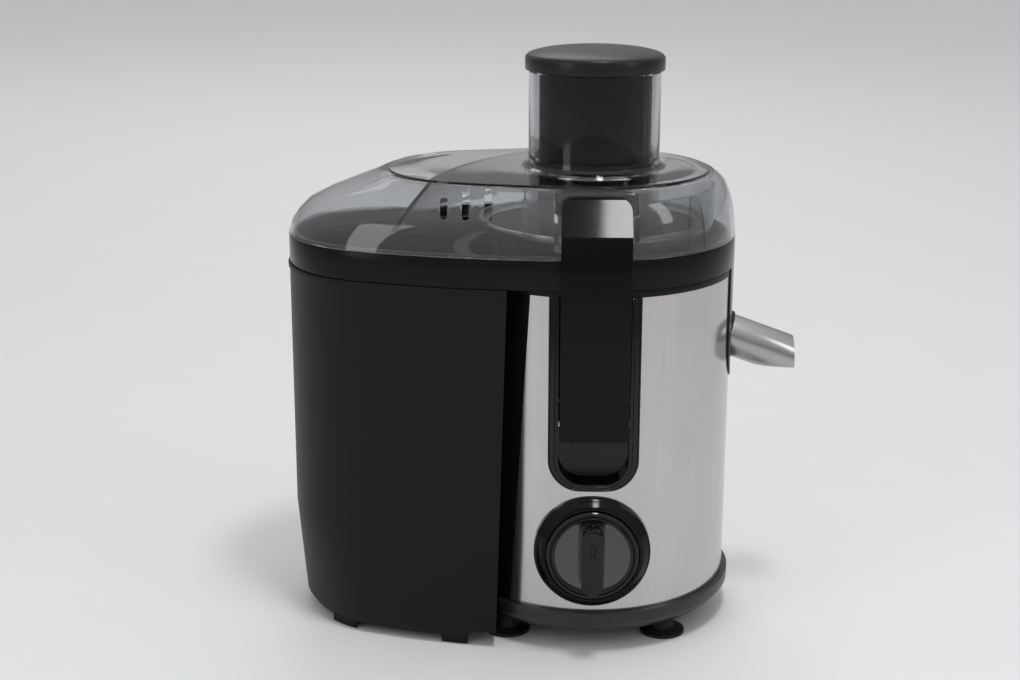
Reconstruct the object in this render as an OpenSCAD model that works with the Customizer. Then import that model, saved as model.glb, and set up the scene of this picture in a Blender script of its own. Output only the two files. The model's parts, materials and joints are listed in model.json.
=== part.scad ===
// Centrifugal juice extractor: motor base, juice collector, mesh basket, clear lid with a wide
// feed chute, side pulp bin and two latch arms. Millimetres, +Z up. The pieces are drawn round
// the motor axis and then moved so that the origin lies under the middle of the whole machine.

/* [Outline] */
// Outer radius of the collector band round the motor axis
band_r = 76.5; // [68:0.5:92]
// Radius of the rounded tip over the pulp bin
tip_r = 61; // [48:1:74]
// Distance from the motor axis to the centre of the tip
tip_x = 103; // [92:1:125]
// Radius of the gently curved flanks between body and tip
flank_r = 324; // [260:1:400]

/* [Motor base] */
// Height of the motor housing's upper edge above the table
base_top = 193.5; // [180:0.5:233]
// How far the motor housing stands in from the collector band
housing_inset = 1.9; // [1:0.1:2.5]
// Wall thickness of the moulded parts
wall = 2.5; // [2:0.1:3]
// Thickness of the steel wrap
steel_t = 0.8; // [0.5:0.1:1.2]
// Height of the upper edge of the base cover
cover_top = 23; // [21:1:28]
// Underside of the base cover above the table
cover_z = 9; // [7:0.5:11]
// How far the base cover's lip stands out beyond the housing
cover_lip = 3.8; // [2.5:0.1:5]
// Depth of the well that holds the juice collector
well_depth = 50; // [48:1:60]
// Radius of a suction foot
foot_r = 12; // [9:0.5:14]
// Distance from the housing's wall in to the centre of each foot
foot_inset = 11; // [10:0.5:18]
// How far the four feet stand left of the motor axis
foot_shift = 2.5; // [0:0.5:3]

/* [Juice collector and spout] */
// Height of the collector's outer band
band_h = 15.3; // [13:0.1:20]
// Height of the housing's flange under the band
flange_h = 3.4; // [2.8:0.1:5]
// Outer radius of the steel spout
spout_r = 11.2; // [9:0.1:13.5]
// Wall thickness of the spout
spout_t = 1; // [0.8:0.1:1.5]
// Slope of the spout below the horizontal, in degrees
spout_tilt = 20; // [10:1:25]
// How far the spout's mouth stands out beyond the collector band
spout_len = 34; // [28:0.5:45]
// Half width of the plate that carries the spout
apron_w = 22; // [20:0.5:27]

/* [Lid and pusher] */
// Inner radius of the feed chute
chute_r = 32.5; // [27:0.5:39]
// Wall thickness of the feed chute
chute_t = 2.5; // [2:0.1:3]
// Height of the lid's plateau above its rim
lid_h = 34.7; // [32:0.1:42]
// Height of the chute above the plateau
chute_h = 51.7; // [40:0.1:70]
// Wall thickness of the clear lid
lid_t = 2.2; // [1.8:0.1:2.6]
// Radius of the lid's curved pulp deflector
deflector_r = 205; // [190:1:220]
// How far the pulp deflector hangs below the plateau
deflector_h = 24.5; // [18:0.5:25]
// How far the pusher's cap stands out beyond the chute
cap_lip = 2; // [1:0.1:4]
// Gap between the pusher's body and the chute, bridged by its guide ribs
pusher_gap = 3.8; // [2:0.1:6]

/* [Basket] */
// Room between the basket's rim and the wall of the collector bowl
basket_gap = 10; // [9:0.5:14]
// How much wider the basket is at its rim than at its floor
basket_flare = 13.5; // [10:0.5:16]
// Height of the mesh
mesh_h = 43.5; // [36:0.5:46]

/* [Latches] */
// Width of a latch arm
latch_w = 35.5; // [28:0.5:38]
// Height of the latch pivot above the recess's lower edge
pivot_up = 34.8; // [32:0.1:36]
// Radius of the latch pins
pin_r = 2; // [1.5:0.1:2.5]

/* [Knob] */
// Steel left showing below and above the knob's bezel
bezel_margin = 3.7; // [2:0.1:4]
// Radius of the knob
knob_r = 24; // [18:0.5:26]
// Radius of the fixed bezel round the knob
bezel_r = 30.5; // [25:0.5:32]

/* [Pulp bin] */
// Gap between the bin and the motor housing
bin_gap = 1.6; // [1.2:0.1:3]
// Where the bin's front wall ends beside the housing
bin_edge = 44.7; // [40:0.5:52]

/* [Motor] */
// Radius of the motor shaft
shaft_r = 4; // [3:0.5:5]
// Outer radius of the stator
stator_r = 38; // [35:0.5:40]
// Height of the laminated stack
stack_h = 32; // [26:1:34]

/* [Clearances] */
// Gap between pieces that move past or rest on each other
gap = 0.3; // [0.25:0.05:0.4]
// Radial clearance of a shaft or pin in its bore
run_gap = 0.06; // [0.03:0.01:0.1]

/* [Hidden] */

$fn = 64;
// Overlap of a cut with the face it passes through
eps = 0.01;
// Clearance of a push fit
press = 0.05;
// Longer than the whole machine
far = 400;

// Heights
housing_r = band_r - housing_inset;
housing_in = housing_r - wall;
cover_r = housing_r + cover_lip;
foot_reach = housing_r - foot_inset;
steel_in = housing_r + 0.1;
steel_r = steel_in + steel_t;
band_z = base_top + flange_h + gap;
rim_z = band_z + band_h;
plateau_z = rim_z + lid_h;
chute_z = plateau_z + chute_h;
deck_z = base_top - well_depth;
deck_under = deck_z - wall;
seal_r = 8;

// Steel wrap's slanting edge and the base cover's edge, left of the motor axis
steel_edge_top = 33;
steel_edge_low = 43;
cover_edge = 49;

// Base cover
cover_plate = 3;
boss_top = cover_z + 9;
screw_reach = 60;
screw_r = 1.9;
screw_head_r = 3.3;
vent_w = 3.5;
vent_step = 8;
vent_l = 56;
foot_angle = 48.5;
foot_stem_r = 4;

// Cord gland
gland_r = 8;
gland_z = cover_top + 14;
cord_bore = 4.2;

// Collector
bowl_r = housing_in - 2.9;
bowl_in = bowl_r - wall;
bowl_z = deck_z + 2.5;
bowl_floor = bowl_z + wall;
deck_plate_z = rim_z - 8.5;
neck_r = 12.6;
neck_top = deck_z + 6;
chimney_in = neck_r + 0.6;
chimney_r = chimney_in + 2.2;
chimney_top = deck_z + 20;
seal_out = spout_r + 1.2;
apron_r = steel_r + 0.9;
spout_root_x = apron_r + 0.7;
spout_root_z = bowl_floor + 6.1;
spout_x = band_r + spout_len;
slot_half = apron_w + 0.5;
web_w = apron_w - 4;

// Rotor
basket_r = bowl_in - basket_gap;
floor_r = basket_r - basket_flare;
coupling_r = 10.5;
coupling_z = neck_top + 2;
coupling_top = deck_z + 25;
socket_r = coupling_r + run_gap;
socket_out = socket_r + 1.8;
cross_w = 4;
cross_d = 6;
basket_z = deck_z + 29;
disc_z = basket_z + 6;
mesh_t = 0.8;
rim_low = basket_z + mesh_h;
rim_r = basket_r + 4.5;
rim_top = rim_low + 5;
disc_r = floor_r - 1.2;
disc_t = 0.8;
rib_t = 1.8;
grater_reach = 24;
grater_screw_r = 1.2;

// Motor, hung from the deck
mount_z = deck_under - 10.5;
bracket_z = mount_z - 12;
bracket_t = 4;
fan_z = bracket_z - 8;
coil_over = 8;
stack_z = fan_z - 2 - coil_over - stack_h;
coil_z = stack_z - coil_over;
low_bracket_z = coil_z - 18;
low_boss_z = low_bracket_z - 8;
pole_r = 22;
pole_w = 15;
yoke_r = stator_r - 7;
coil_r = yoke_r - 0.5;
armature_r = pole_r - 1;
bearing_r = 11;
bearing_h = 7;
bolt_reach = stator_r - 3.5;
bolt_r = 2;
leg_r = 3.4;
mount_reach = stator_r + 10;
mount_r = 7;
commutator_r = 12;
brush_in = commutator_r + gap;
brush_out = stator_r - 2;
brush_h = 6.4;
brush_z = low_bracket_z + bracket_t + 3.5;
fan_r = bolt_reach - leg_r - 1.6;
shaft_low = low_bracket_z - 12;

// Knob and latch heights
knob_z = cover_top + bezel_margin + bezel_r;
recess_low = knob_z + bezel_r + bezel_margin - 0.7;
pivot_z = recess_low + pivot_up;

// Latch arms: section in the plane across the hinge, outward distances from the motor axis
arm_in = band_r + 0.5;
arm_t = 5;
arm_out = arm_in + arm_t;
pivot_y = band_r - 6.5;
hub_r = 5;
ledge_low = [band_r - 0.5, rim_z + 5.5];
ledge_high = [band_r - 13.5, rim_z + 21.5];
ledge_run = ledge_high - ledge_low;
ledge_len = norm(ledge_run);
ledge_n = [ledge_run[1], -ledge_run[0]] / ledge_len;
hook_gap = 0.4;
arm_low = pivot_z - 6.5;
knee_z = rim_z + 12.2;
arm_top = rim_z + 30;

// Recess inserts
frame_w = latch_w / 2 + 5.85;
frame_in = latch_w / 2 + 0.6;
pocket_top = pivot_z + 13;
pocket_y = band_r - 15;
pocket_t = 1.8;
pocket_low = recess_low + 3.5;
frame_t = 1.3;
nub_z = pivot_z + 9;
plunger_r = 2;
plunger_y = pivot_y - hub_r + 0.1;
switch_y = pocket_y - pocket_t - 0.1;

// Knob and switch
knob_back = steel_r + 2.6;
knob_t = 4.5;
knob_face = knob_back + knob_t;
grip_t = 10;
grip_w = 12;
grip_l = 2 * (knob_r - 5);
switch_out = housing_in - 3;
switch_w = 26;
switch_d = 22;
knob_shaft_r = 3;

// Centre of the pulp deflector's arc at its lower edge, and how far its upper edge is moved
deflector_c = [deflector_r - 103, -83];
deflector_lean = [15, -10];

// Pulp bin
bin_r = housing_r + bin_gap;
bin_t = 2.2;
bin_top = base_top + flange_h;
bin_slope = 5.3 / 176;
bin_lip = 0.8;
bin_low = 3;
bin_base = 8.5;

// Pusher
cap_r = chute_r + chute_t + cap_lip;
pusher_r = chute_r - pusher_gap;
pusher_low = disc_z + 12;
cap_z = chute_z + gap;
cap_side = 7;
cap_dome = 5.3;

// The middle of the whole machine, seen from above
reach_left = tip_x + tip_r + bin_lip;
reach_front = knob_face + grip_t;
centre = [(reach_left - spout_x) / 2, (reach_front - arm_out) / 2, 0];

// ---- outlines ----

// Points along an arc, without its last one
function arc(c, r, a0, a1, n) =
    [for (i = [0:n - 1]) let (a = a0 + (a1 - a0) * i / n) c + r * [cos(a), sin(a)]];

// Body circle, tip circle and two flanks that touch both
function outline(r1, r3, c, r2) =
    let (fx = ((r2 - r3) ^ 2 - (r2 - r1) ^ 2 - c ^ 2) / (2 * c),
         fy = sqrt((r2 - r1) ^ 2 - fx ^ 2),
         a1 = atan2(fy, -fx),
         a3 = atan2(fy, -c - fx))
    concat(arc([0, 0], r1, -a1, a1, 32), arc([fx, -fy], r2, a1, a3, 5),
        arc([-c, 0], r3, a3, 360 - a3, 20), arc([fx, fy], r2, 360 - a3, 360 - a1, 5));

module plan(inset = 0) {
    polygon(outline(band_r - inset, tip_r - inset, tip_x, flank_r - inset));
}

module slab(z0, z1, inset = 0) {
    translate([0, 0, z0]) linear_extrude(z1 - z0) plan(inset);
}

module disc(r, z0, z1) {
    translate([0, 0, z0]) cylinder(r = r, h = z1 - z0);
}

module ring(r0, r1, z0, z1) {
    difference() {
        disc(r1, z0, z1);
        disc(r0, z0 - 1, z1 + 1);
    }
}

// A cylinder along +Y from y0 to y1
module rod_y(r, y0, y1, z, x = 0) {
    translate([x, y0, z]) rotate([-90, 0, 0]) cylinder(r = r, h = y1 - y0);
}

// A cylinder along +X from x0 to x1
module rod_x(r, x0, x1, y, z) {
    translate([x0, y, z]) rotate([0, 90, 0]) cylinder(r = r, h = x1 - x0);
}

module block(low, high) {
    translate(low) cube(high - low);
}

// A U-shaped window with a round bottom, cut through along Y on the front side
module window(half_w, corner, z0, z1, y0, y1) {
    translate([0, y1, 0]) rotate([90, 0, 0]) linear_extrude(y1 - y0) {
        translate([-half_w, z0 + corner]) square([2 * half_w, z1 - z0 - corner]);
        translate([-half_w + corner, z0]) square([2 * (half_w - corner), corner + 1]);
        for (s = [-1, 1]) translate([s * (half_w - corner), z0 + corner]) circle(corner);
    }
}

// Four copies round the motor axis, on the diagonals
module diagonals() {
    for (a = [45:90:315]) rotate(a) children();
}

// The back copy of a piece drawn at the front
module at_back() {
    mirror([0, 1, 0]) children();
}

module both_sides() {
    children();
    at_back() children();
}

module placed() {
    translate(centre) children();
}

// ---- motor base ----

// A U-shaped window round the spout's root, cut through along +X
module spout_slot(half_w, x_in, x_out) {
    rotate(-90) window(half_w, half_w - eps, spout_root_z - half_w, far, x_in, x_out);
}

module mount_posts() {
    diagonals() translate([mount_reach, 0, 0]) disc(5, mount_z + 8, deck_under + 1);
}

module housing_shell() {
    ring(housing_in, housing_r, cover_top + gap, base_top + flange_h);
    ring(housing_in, steel_r + 0.3, base_top - 0.2, base_top + flange_h);
    disc(housing_in + 1, deck_under, deck_z);
    disc(neck_r, deck_z - eps, neck_top);
    mount_posts();
}

module motor_housing() {
    color("#1b1b1d") placed() difference() {
        housing_shell();
        disc(seal_r, deck_z + 0.5, neck_top + 1);
        disc(shaft_r + 1.5, deck_under - 1, neck_top + 1);
        both_sides()
            window(frame_in + 0.2 + pocket_t, 15, pocket_low - pocket_t - 0.2,
                pocket_top + pocket_t + 0.2, -housing_r - 5, -housing_in + 8);
        rod_y(5, -far / 4, -housing_in + 5, knob_z);
        diagonals() translate([mount_reach, 0, 0]) disc(bolt_r, mount_z + 7, deck_under - 2);
        spout_slot(slot_half, housing_in - 6, far / 4);
        both_sides() window(frame_in, 5, base_top - 5, far, -far / 4, -housing_r - 0.05);
        rod_y(gland_r, housing_in - 5, far / 4, gland_z);
    }
}

module steel_wrap() {
    color("#b9b6b4") placed() difference() {
        ring(steel_in, steel_r, cover_top + 0.2, base_top - 0.4);
        wrap_cut();
        both_sides() window(frame_in + 0.9, 14, recess_low + 2.2, far, -far / 4, -30);
        rod_y(5.2, -far / 4, -30, knob_z);
        spout_slot(slot_half, 30, far / 4);
        rod_y(gland_r + 0.2, 30, far / 4, gland_z);
    }
}

// Everything beyond the slanting edge where the steel ends beside the bin
module wrap_cut() {
    translate([0, far / 2, 0]) rotate([90, 0, 0]) linear_extrude(far)
        polygon([[-far, base_top + 1], [-steel_edge_top, base_top + 1],
            [-steel_edge_low, cover_top], [-steel_edge_low, 0], [-far, 0]]);
}

// Half section of the cover: a plate, a rounded corner and a lip, hollow above the plate
module cover_profile() {
    lip_z = cover_top - cover_z;
    corner = [[0, 0], [7.5, 2.6], [11, 6.5], [12, 9], [12, 12], [-3, 12], [-3, 0]];
    difference() {
        union() {
            square([cover_r - 12, cover_plate]);
            translate([0, lip_z - 6]) square([cover_r, 6]);
            translate([cover_r - 12, 0]) polygon(corner);
        }
        translate([-1, cover_plate]) square([cover_r - 16, far]);
        translate([0, 8]) square([housing_r - 0.6, far]);
    }
}

module base_cover() {
    color("#19191b") placed() difference() {
        union() {
            translate([0, 0, cover_z]) rotate_extrude() cover_profile();
            ring(housing_in - 2.4, housing_in - 0.1, cover_z + 2, cover_top + 4);
            foot_places() disc(foot_stem_r + 2, cover_z + 1, boss_top);
            screw_places() disc(screw_r + 2.6, cover_z + 1, boss_top);
        }
        difference() {
            block([-far / 4, -far / 4, 0], [-cover_edge, far / 4, cover_top + 1]);
            disc(housing_r, -1, cover_top + 2);
        }
        ring(housing_in - 0.05, housing_r + 0.05, cover_top - 2, cover_top + 1);
        foot_places() disc(foot_stem_r + press, cover_z - 1, cover_z + 7);
        screw_places() {
            disc(screw_r, cover_z - 1, far);
            disc(screw_head_r + 0.1, cover_z - 1, cover_z + 2);
        }
        for (i = [-4:4]) translate([i * vent_step, 0, 0])
            block([-vent_w / 2, -vent_l / 2, 0], [vent_w / 2, vent_l / 2, boss_top]);
        rod_y(gland_r + 0.2, 40, far / 4, gland_z);
    }
}

module screw_places() {
    for (a = [0:90:270]) rotate(a) translate([screw_reach, 0, 0]) children();
}

module cover_screws() {
    color("#8d8f92") placed() screw_places() difference() {
        union() {
            disc(screw_r, cover_z + 1, boss_top);
            disc(screw_head_r, cover_z + 0.2, cover_z + 2);
        }
        for (a = [0, 90]) rotate(a) block([-2, -0.4, 0], [2, 0.4, cover_z + 1.2]);
    }
}

module foot_places() {
    for (a = [foot_angle, 180 - foot_angle, 180 + foot_angle, -foot_angle]) foot_place(a) children();
}

module foot_place(a) {
    translate([-foot_shift, 0, 0]) rotate(a) translate([foot_reach, 0, 0]) children();
}

module foot(a) {
    color("#141414") placed() foot_place(a) rotate_extrude()
        polygon([[0, 1.2], [foot_r - 3, 0], [foot_r, 0], [foot_r, 1.6], [6.5, 3.2], [5.5, cover_z],
            [foot_stem_r, cover_z], [foot_stem_r, cover_z + 6.5], [0, cover_z + 6.5]]);
}

module foot_front_left() { foot(180 + foot_angle); }
module foot_front_right() { foot(-foot_angle); }
module foot_back_left() { foot(180 - foot_angle); }
module foot_back_right() { foot(foot_angle); }

// ---- latch recesses, pins and arms ----

module recess_shape() {
    pin_hole = frame_in + pocket_t - 0.4;
    difference() {
        union() {
            intersection() {
                window(frame_w, 16, recess_low, base_top - 0.5, -far / 4, -30);
                ring(steel_r + 0.05, steel_r + frame_t, recess_low - 1, base_top - 0.5);
            }
            intersection() {
                window(frame_in + 0.7, 14, recess_low + 2.4, base_top - 0.5, -far / 4, -30);
                ring(housing_r + 0.05, steel_r + frame_t, recess_low - 1, base_top - 0.5);
            }
            intersection() {
                window(frame_in + pocket_t, 14.8, pocket_low - pocket_t, pocket_top + pocket_t,
                    -far / 4, -pocket_y + pocket_t);
                disc(housing_r + 0.05 + eps, recess_low - 1, base_top - 0.5);
            }
        }
        window(frame_in, 13, pocket_low, pocket_top, -far / 4, -pocket_y);
        window(frame_in, 13, pocket_low, far, -far / 4, -housing_r + eps);
        difference() {
            window(frame_in, 13, pocket_low, far, -far / 4, -housing_r + 8);
            disc(housing_r + 0.05, 0, far);
            disc(steel_r + 2, 0, pocket_top + pocket_t);
        }
        rod_x(pin_r, -pin_hole, pin_hole, -pivot_y, pivot_z);
    }
}

module recess_front() {
    color("#101012") placed() difference() {
        recess_shape();
        rod_y(plunger_r + 0.1, -far / 4, -30, nub_z);
    }
}

module recess_back() {
    color("#101012") placed() at_back() recess_shape();
}

module latch_pin() {
    reach = frame_in + pocket_t - 0.5;
    color("#9a9da1") rod_x(pin_r, -reach, reach, -pivot_y, pivot_z);
}

module latch_pin_front() { placed() latch_pin(); }
module latch_pin_back() { placed() at_back() latch_pin(); }

module arm_section() {
    near = ledge_low + hook_gap * ledge_n;
    tip = ledge_high + hook_gap * ledge_n;
    head = [[ledge_high[0] + 3.4, arm_top - 0.6], [ledge_high[0] + 2, arm_top],
        [ledge_high[0], arm_top - 1], tip, near, [arm_in, near[1] - 1.2]];
    polygon(concat([[arm_in, arm_low], [arm_out, arm_low], [arm_out, knee_z - 1],
        [arm_out - 0.7, knee_z + 1.2]], head));
}

// The latch arm's top corners are rounded as seen from the front
module arm_front_view() {
    r = 6;
    translate([-latch_w / 2, arm_low]) square([latch_w, arm_top - arm_low - r]);
    translate([-latch_w / 2 + r, arm_low]) square([latch_w - 2 * r, arm_top - arm_low]);
    for (s = [-1, 1]) translate([s * (latch_w / 2 - r), arm_top - r]) circle(r);
}

module latch_arm() {
    difference() {
        union() {
            intersection() {
                translate([-latch_w / 2, 0, 0]) rotate([90, 0, 90]) linear_extrude(latch_w)
                    mirror([1, 0]) arm_section();
                translate([0, -30, 0]) rotate([90, 0, 0]) linear_extrude(far / 4) arm_front_view();
            }
            rod_x(hub_r, -latch_w / 2, latch_w / 2, -pivot_y, pivot_z);
            block([-latch_w / 2, -arm_in - 1, pivot_z - hub_r],
                [latch_w / 2, -pivot_y, pivot_z + hub_r]);
            block([-5, -arm_in - 1, nub_z - 2], [5, -plunger_y - 0.2, nub_z + 2]);
        }
        rod_x(pin_r + run_gap, -far / 4, far / 4, -pivot_y, pivot_z);
    }
}

module latch_front() { color("#0c0c0d") placed() latch_arm(); }
module latch_back() { color("#0c0c0d") placed() at_back() latch_arm(); }

module interlock_switch() {
    color("#2b2d31") placed() difference() {
        block([-10, -switch_y, nub_z - 5], [10, -switch_y + 12, nub_z + 5]);
        rod_y(plunger_r + run_gap, -switch_y - 1, -switch_y + 8, nub_z);
    }
}

module interlock_plunger() {
    color("#b03a2e") placed() rod_y(plunger_r, -plunger_y, -switch_y + 7.7, nub_z);
}

// ---- knob, switch and cord gland ----

module knob_bezel() {
    color("#121213") placed() difference() {
        union() {
            rod_y(bezel_r, -steel_r - 0.8, -60, knob_z);
            translate([0, -knob_face + 1.2, knob_z]) rotate([-90, 0, 0])
                cylinder(r1 = knob_r + 1.8, r2 = bezel_r - 0.6, h = knob_face - steel_r - 2);
        }
        disc(steel_r + 0.05, 0, base_top);
        rod_y(knob_r + 0.5, -far / 4, -knob_back + 0.5, knob_z);
        rod_y(8.5, -far / 4, -30, knob_z);
    }
}

module rotary_switch() {
    color("#33363b") placed() difference() {
        union() {
            block([-switch_w / 2, -switch_out, knob_z - switch_w / 2],
                [switch_w / 2, -switch_out + switch_d, knob_z + switch_w / 2]);
            rod_y(8, -housing_in + 0.5, -switch_out + 1, knob_z);
            rod_y(4.8, -steel_r - 2.4, -switch_out + 1, knob_z);
            for (s = [-1, 0, 1]) block([s * 7 - 2.4, -switch_out + switch_d - 1, knob_z - 6],
                [s * 7 + 2.4, -switch_out + switch_d + 6, knob_z - 5.2]);
        }
        rod_y(knob_shaft_r + run_gap, -far / 4, -switch_out + 12, knob_z);
    }
}

module switch_nut() {
    color("#b9bcc0") placed() difference() {
        translate([0, -steel_r - 0.05, knob_z]) rotate([90, 0, 0]) cylinder(r = 8, h = 1.9, $fn = 6);
        rod_y(4.8, -far / 4, -30, knob_z);
    }
}

module switch_shaft() {
    color("#a5a8ac") placed() rod_y(knob_shaft_r, -knob_face + 1, -switch_out + 11.5, knob_z);
}

module knob() {
    color("#0f0f10") placed() difference() {
        union() {
            rod_y(knob_r, -knob_face + 1, -knob_back, knob_z);
            difference() {
                rod_y(knob_r, -knob_face, -knob_back, knob_z);
                rod_y(knob_r - 2, -far / 4, -knob_back, knob_z);
            }
            difference() {
                rod_y(knob_r - 3.4, -knob_face - 0.6, -knob_back, knob_z);
                rod_y(knob_r - 5.2, -far / 4, -knob_back, knob_z);
            }
            grip_bar();
        }
        rod_y(knob_shaft_r, -knob_face + 1, -knob_back + 1, knob_z);
    }
}

module grip_bar() {
    translate([0, -knob_back - 2, knob_z]) rotate([90, 0, 0]) linear_extrude(knob_t - 2 + grip_t - 1)
        grip_plan(grip_w, grip_l);
    translate([0, -knob_face - grip_t + 2, knob_z]) rotate([90, 0, 0]) linear_extrude(2)
        grip_plan(grip_w - 2.4, grip_l - 2.4);
}

module grip_plan(w, l) {
    square([w, l - w], center = true);
    for (s = [-1, 1]) translate([0, s * (l - w) / 2]) circle(w / 2);
}

module cord_gland() {
    color("#161617") placed() difference() {
        union() {
            rod_y(gland_r - 0.05, housing_in - 4, steel_r + 1, gland_z);
            rod_y(gland_r + 2.5, steel_r + 0.05, steel_r + 3, gland_z);
            rod_y(gland_r + 1.5, housing_in - 6, housing_in - 3.9, gland_z);
        }
        rod_y(cord_bore, 0, far / 4, gland_z);
    }
}

// ---- motor ----

module stator() {
    color("#6f7276") placed() difference() {
        disc(stator_r, stack_z, stack_z + stack_h);
        difference() {
            disc(yoke_r, stack_z - 1, stack_z + stack_h + 1);
            block([-far, -pole_w, 0], [far, pole_w, far]);
        }
        disc(pole_r, stack_z - 1, stack_z + stack_h + 1);
        diagonals() translate([bolt_reach, 0, 0]) disc(bolt_r, stack_z - 1, stack_z + stack_h + 1);
    }
}

module field_coils() {
    color("#a45a2a") placed() for (s = [0, 1]) mirror([s, 0, 0]) difference() {
        ring(pole_r + 0.8, coil_r, coil_z, stack_z + stack_h + coil_over);
        block([-far, -far, 0], [3, far, far]);
        block([0, -pole_w - 0.2, stack_z - 0.2], [far, pole_w + 0.2, stack_z + stack_h + 0.2]);
    }
}

module bracket_legs(z0, z1) {
    diagonals() translate([bolt_reach, 0, 0]) disc(leg_r, z0, z1);
}

module upper_bracket() {
    color("#a9adb2") placed() difference() {
        union() {
            disc(bearing_r + 3, bracket_z, bracket_z + bearing_h + 3);
            diagonals() block([0, -6, bracket_z], [mount_reach, 6, bracket_z + bracket_t]);
            diagonals() translate([mount_reach, 0, 0]) disc(mount_r, bracket_z, bracket_z + bracket_t);
            bracket_legs(stack_z + stack_h, bracket_z + 1);
        }
        disc(bearing_r, bracket_z + 3, bracket_z + bearing_h + 4);
        disc(shaft_r + 2, 0, far);
        diagonals() {
            translate([bolt_reach, 0, 0]) disc(bolt_r, 0, bracket_z + bracket_t + 1);
            translate([mount_reach, 0, 0]) disc(bolt_r, bracket_z - 1, bracket_z + bracket_t + 1);
        }
    }
}

module lower_bracket() {
    color("#a9adb2") placed() difference() {
        union() {
            disc(bearing_r + 3, low_boss_z, low_bracket_z + bracket_t);
            diagonals() {
                block([0, -4, low_bracket_z], [bolt_reach, 4, low_bracket_z + bracket_t]);
                translate([bolt_reach, 0, 0]) disc(5.6, low_bracket_z, low_bracket_z + bracket_t);
            }
            block([-brush_out, -6.5, low_bracket_z], [brush_out, 6.5, low_bracket_z + bracket_t]);
            bracket_legs(low_bracket_z, stack_z);
        }
        disc(bearing_r, low_boss_z - 1, low_boss_z + bearing_h);
        disc(shaft_r + 2, 0, far);
        diagonals() translate([bolt_reach, 0, 0]) disc(bolt_r, 0, far);
    }
}

module bearing(z) {
    ring(shaft_r + run_gap, bearing_r - eps, z, z + bearing_h);
}

module upper_bearing() {
    color("#c4c7ca") placed() bearing(bracket_z + 3);
}

module lower_bearing() {
    color("#c4c7ca") placed() bearing(low_boss_z);
}

module stator_bolts() {
    color("#8d8f92") placed() diagonals() translate([bolt_reach, 0, 0]) {
        disc(bolt_r - eps, low_bracket_z, bracket_z + bracket_t);
        disc(3.2, low_bracket_z - 2.4, low_bracket_z);
        disc(3.2, bracket_z + bracket_t, bracket_z + bracket_t + 2);
    }
}

module motor_mounts() {
    color("#202020") placed() diagonals() translate([mount_reach, 0, 0])
        ring(bolt_r + 0.1, mount_r, bracket_z + bracket_t, mount_z + 8);
}

module motor_screws() {
    color("#8d8f92") placed() diagonals() translate([mount_reach, 0, 0]) {
        disc(bolt_r - eps, bracket_z, deck_under - 2.5);
        disc(3.5, bracket_z - 2.4, bracket_z);
    }
}

module brush_holder() {
    difference() {
        block([brush_in + 3, -5, low_bracket_z + bracket_t], [brush_out, 5, brush_z + brush_h + 1.8]);
        block([0, -brush_h / 2, brush_z], [brush_out - 2, brush_h / 2, brush_z + brush_h]);
    }
}

module carbon_brush() {
    block([brush_in, -brush_h / 2 + 0.05, brush_z + 0.05],
        [brush_in + 14, brush_h / 2 - 0.05, brush_z + brush_h - 0.05]);
}

module brush_holder_right() { color("#c9a24a") placed() brush_holder(); }
module brush_holder_left() { color("#c9a24a") placed() rotate(180) brush_holder(); }
module carbon_brush_right() { color("#303030") placed() carbon_brush(); }
module carbon_brush_left() { color("#303030") placed() rotate(180) carbon_brush(); }

module shaft_seal() {
    color("#1d1d1d") placed() ring(shaft_r + run_gap, seal_r - eps, deck_z + 0.5, neck_top - 0.5);
}

module motor_shaft() {
    color("#b5b8bb") placed() disc(shaft_r, shaft_low, coupling_top - cross_d - 2);
}

module armature() {
    color("#7a5230") placed() difference() {
        union() {
            disc(armature_r, stack_z, stack_z + stack_h);
            disc(armature_r - 3, coil_z + 1, stack_z + stack_h + coil_over - 1);
        }
        disc(shaft_r, 0, far);
        for (i = [0:11]) rotate(i * 30) translate([armature_r, 0, 0])
            disc(1.2, stack_z - 1, stack_z + stack_h + 1);
    }
}

module commutator() {
    color("#b87333") placed() difference() {
        disc(commutator_r, brush_z - 2.5, coil_z + 1);
        disc(shaft_r, 0, far);
    }
}

module cooling_fan() {
    color("#e6e2d6") placed() difference() {
        union() {
            disc(8, fan_z, fan_z + 6);
            disc(fan_r, fan_z, fan_z + 1.2);
            for (i = [0:9]) rotate(i * 36) block([7, -0.6, fan_z + 1], [fan_r, 0.6, fan_z + 6]);
        }
        disc(shaft_r, 0, far);
    }
}

module drive_cross(w, r, z0, z1) {
    for (a = [0, 90]) rotate(a) block([-r, -w / 2, z0], [r, w / 2, z1]);
}

module drive_coupling() {
    color("#d8d8d2") placed() difference() {
        disc(coupling_r, coupling_z, coupling_top);
        disc(shaft_r, 0, coupling_top - cross_d - 2);
        drive_cross(cross_w, far, coupling_top - cross_d, far);
    }
}

// ---- juice collector and spout ----

module spout_bar(r, from, to) {
    translate([spout_root_x, 0, spout_root_z]) rotate([0, 90 + spout_tilt, 0]) disc(r, from, to);
}

module collector_band() {
    difference() {
        slab(band_z, rim_z);
        slab(band_z - 1, rim_z + 1, wall);
    }
    difference() {
        slab(deck_plate_z - wall, deck_plate_z, wall - eps);
        disc(bowl_r - 1, 0, far);
        pulp_opening(deck_plate_z - 20, rim_z + 1);
    }
}

module pulp_opening(z0, z1) {
    difference() {
        slab(z0, z1, 8);
        disc(bowl_r + 6, z0 - 1, z1 + 1);
        block([-bowl_r + 8, -far, z0 - 1], [far, far, z1 + 1]);
    }
}

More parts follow.
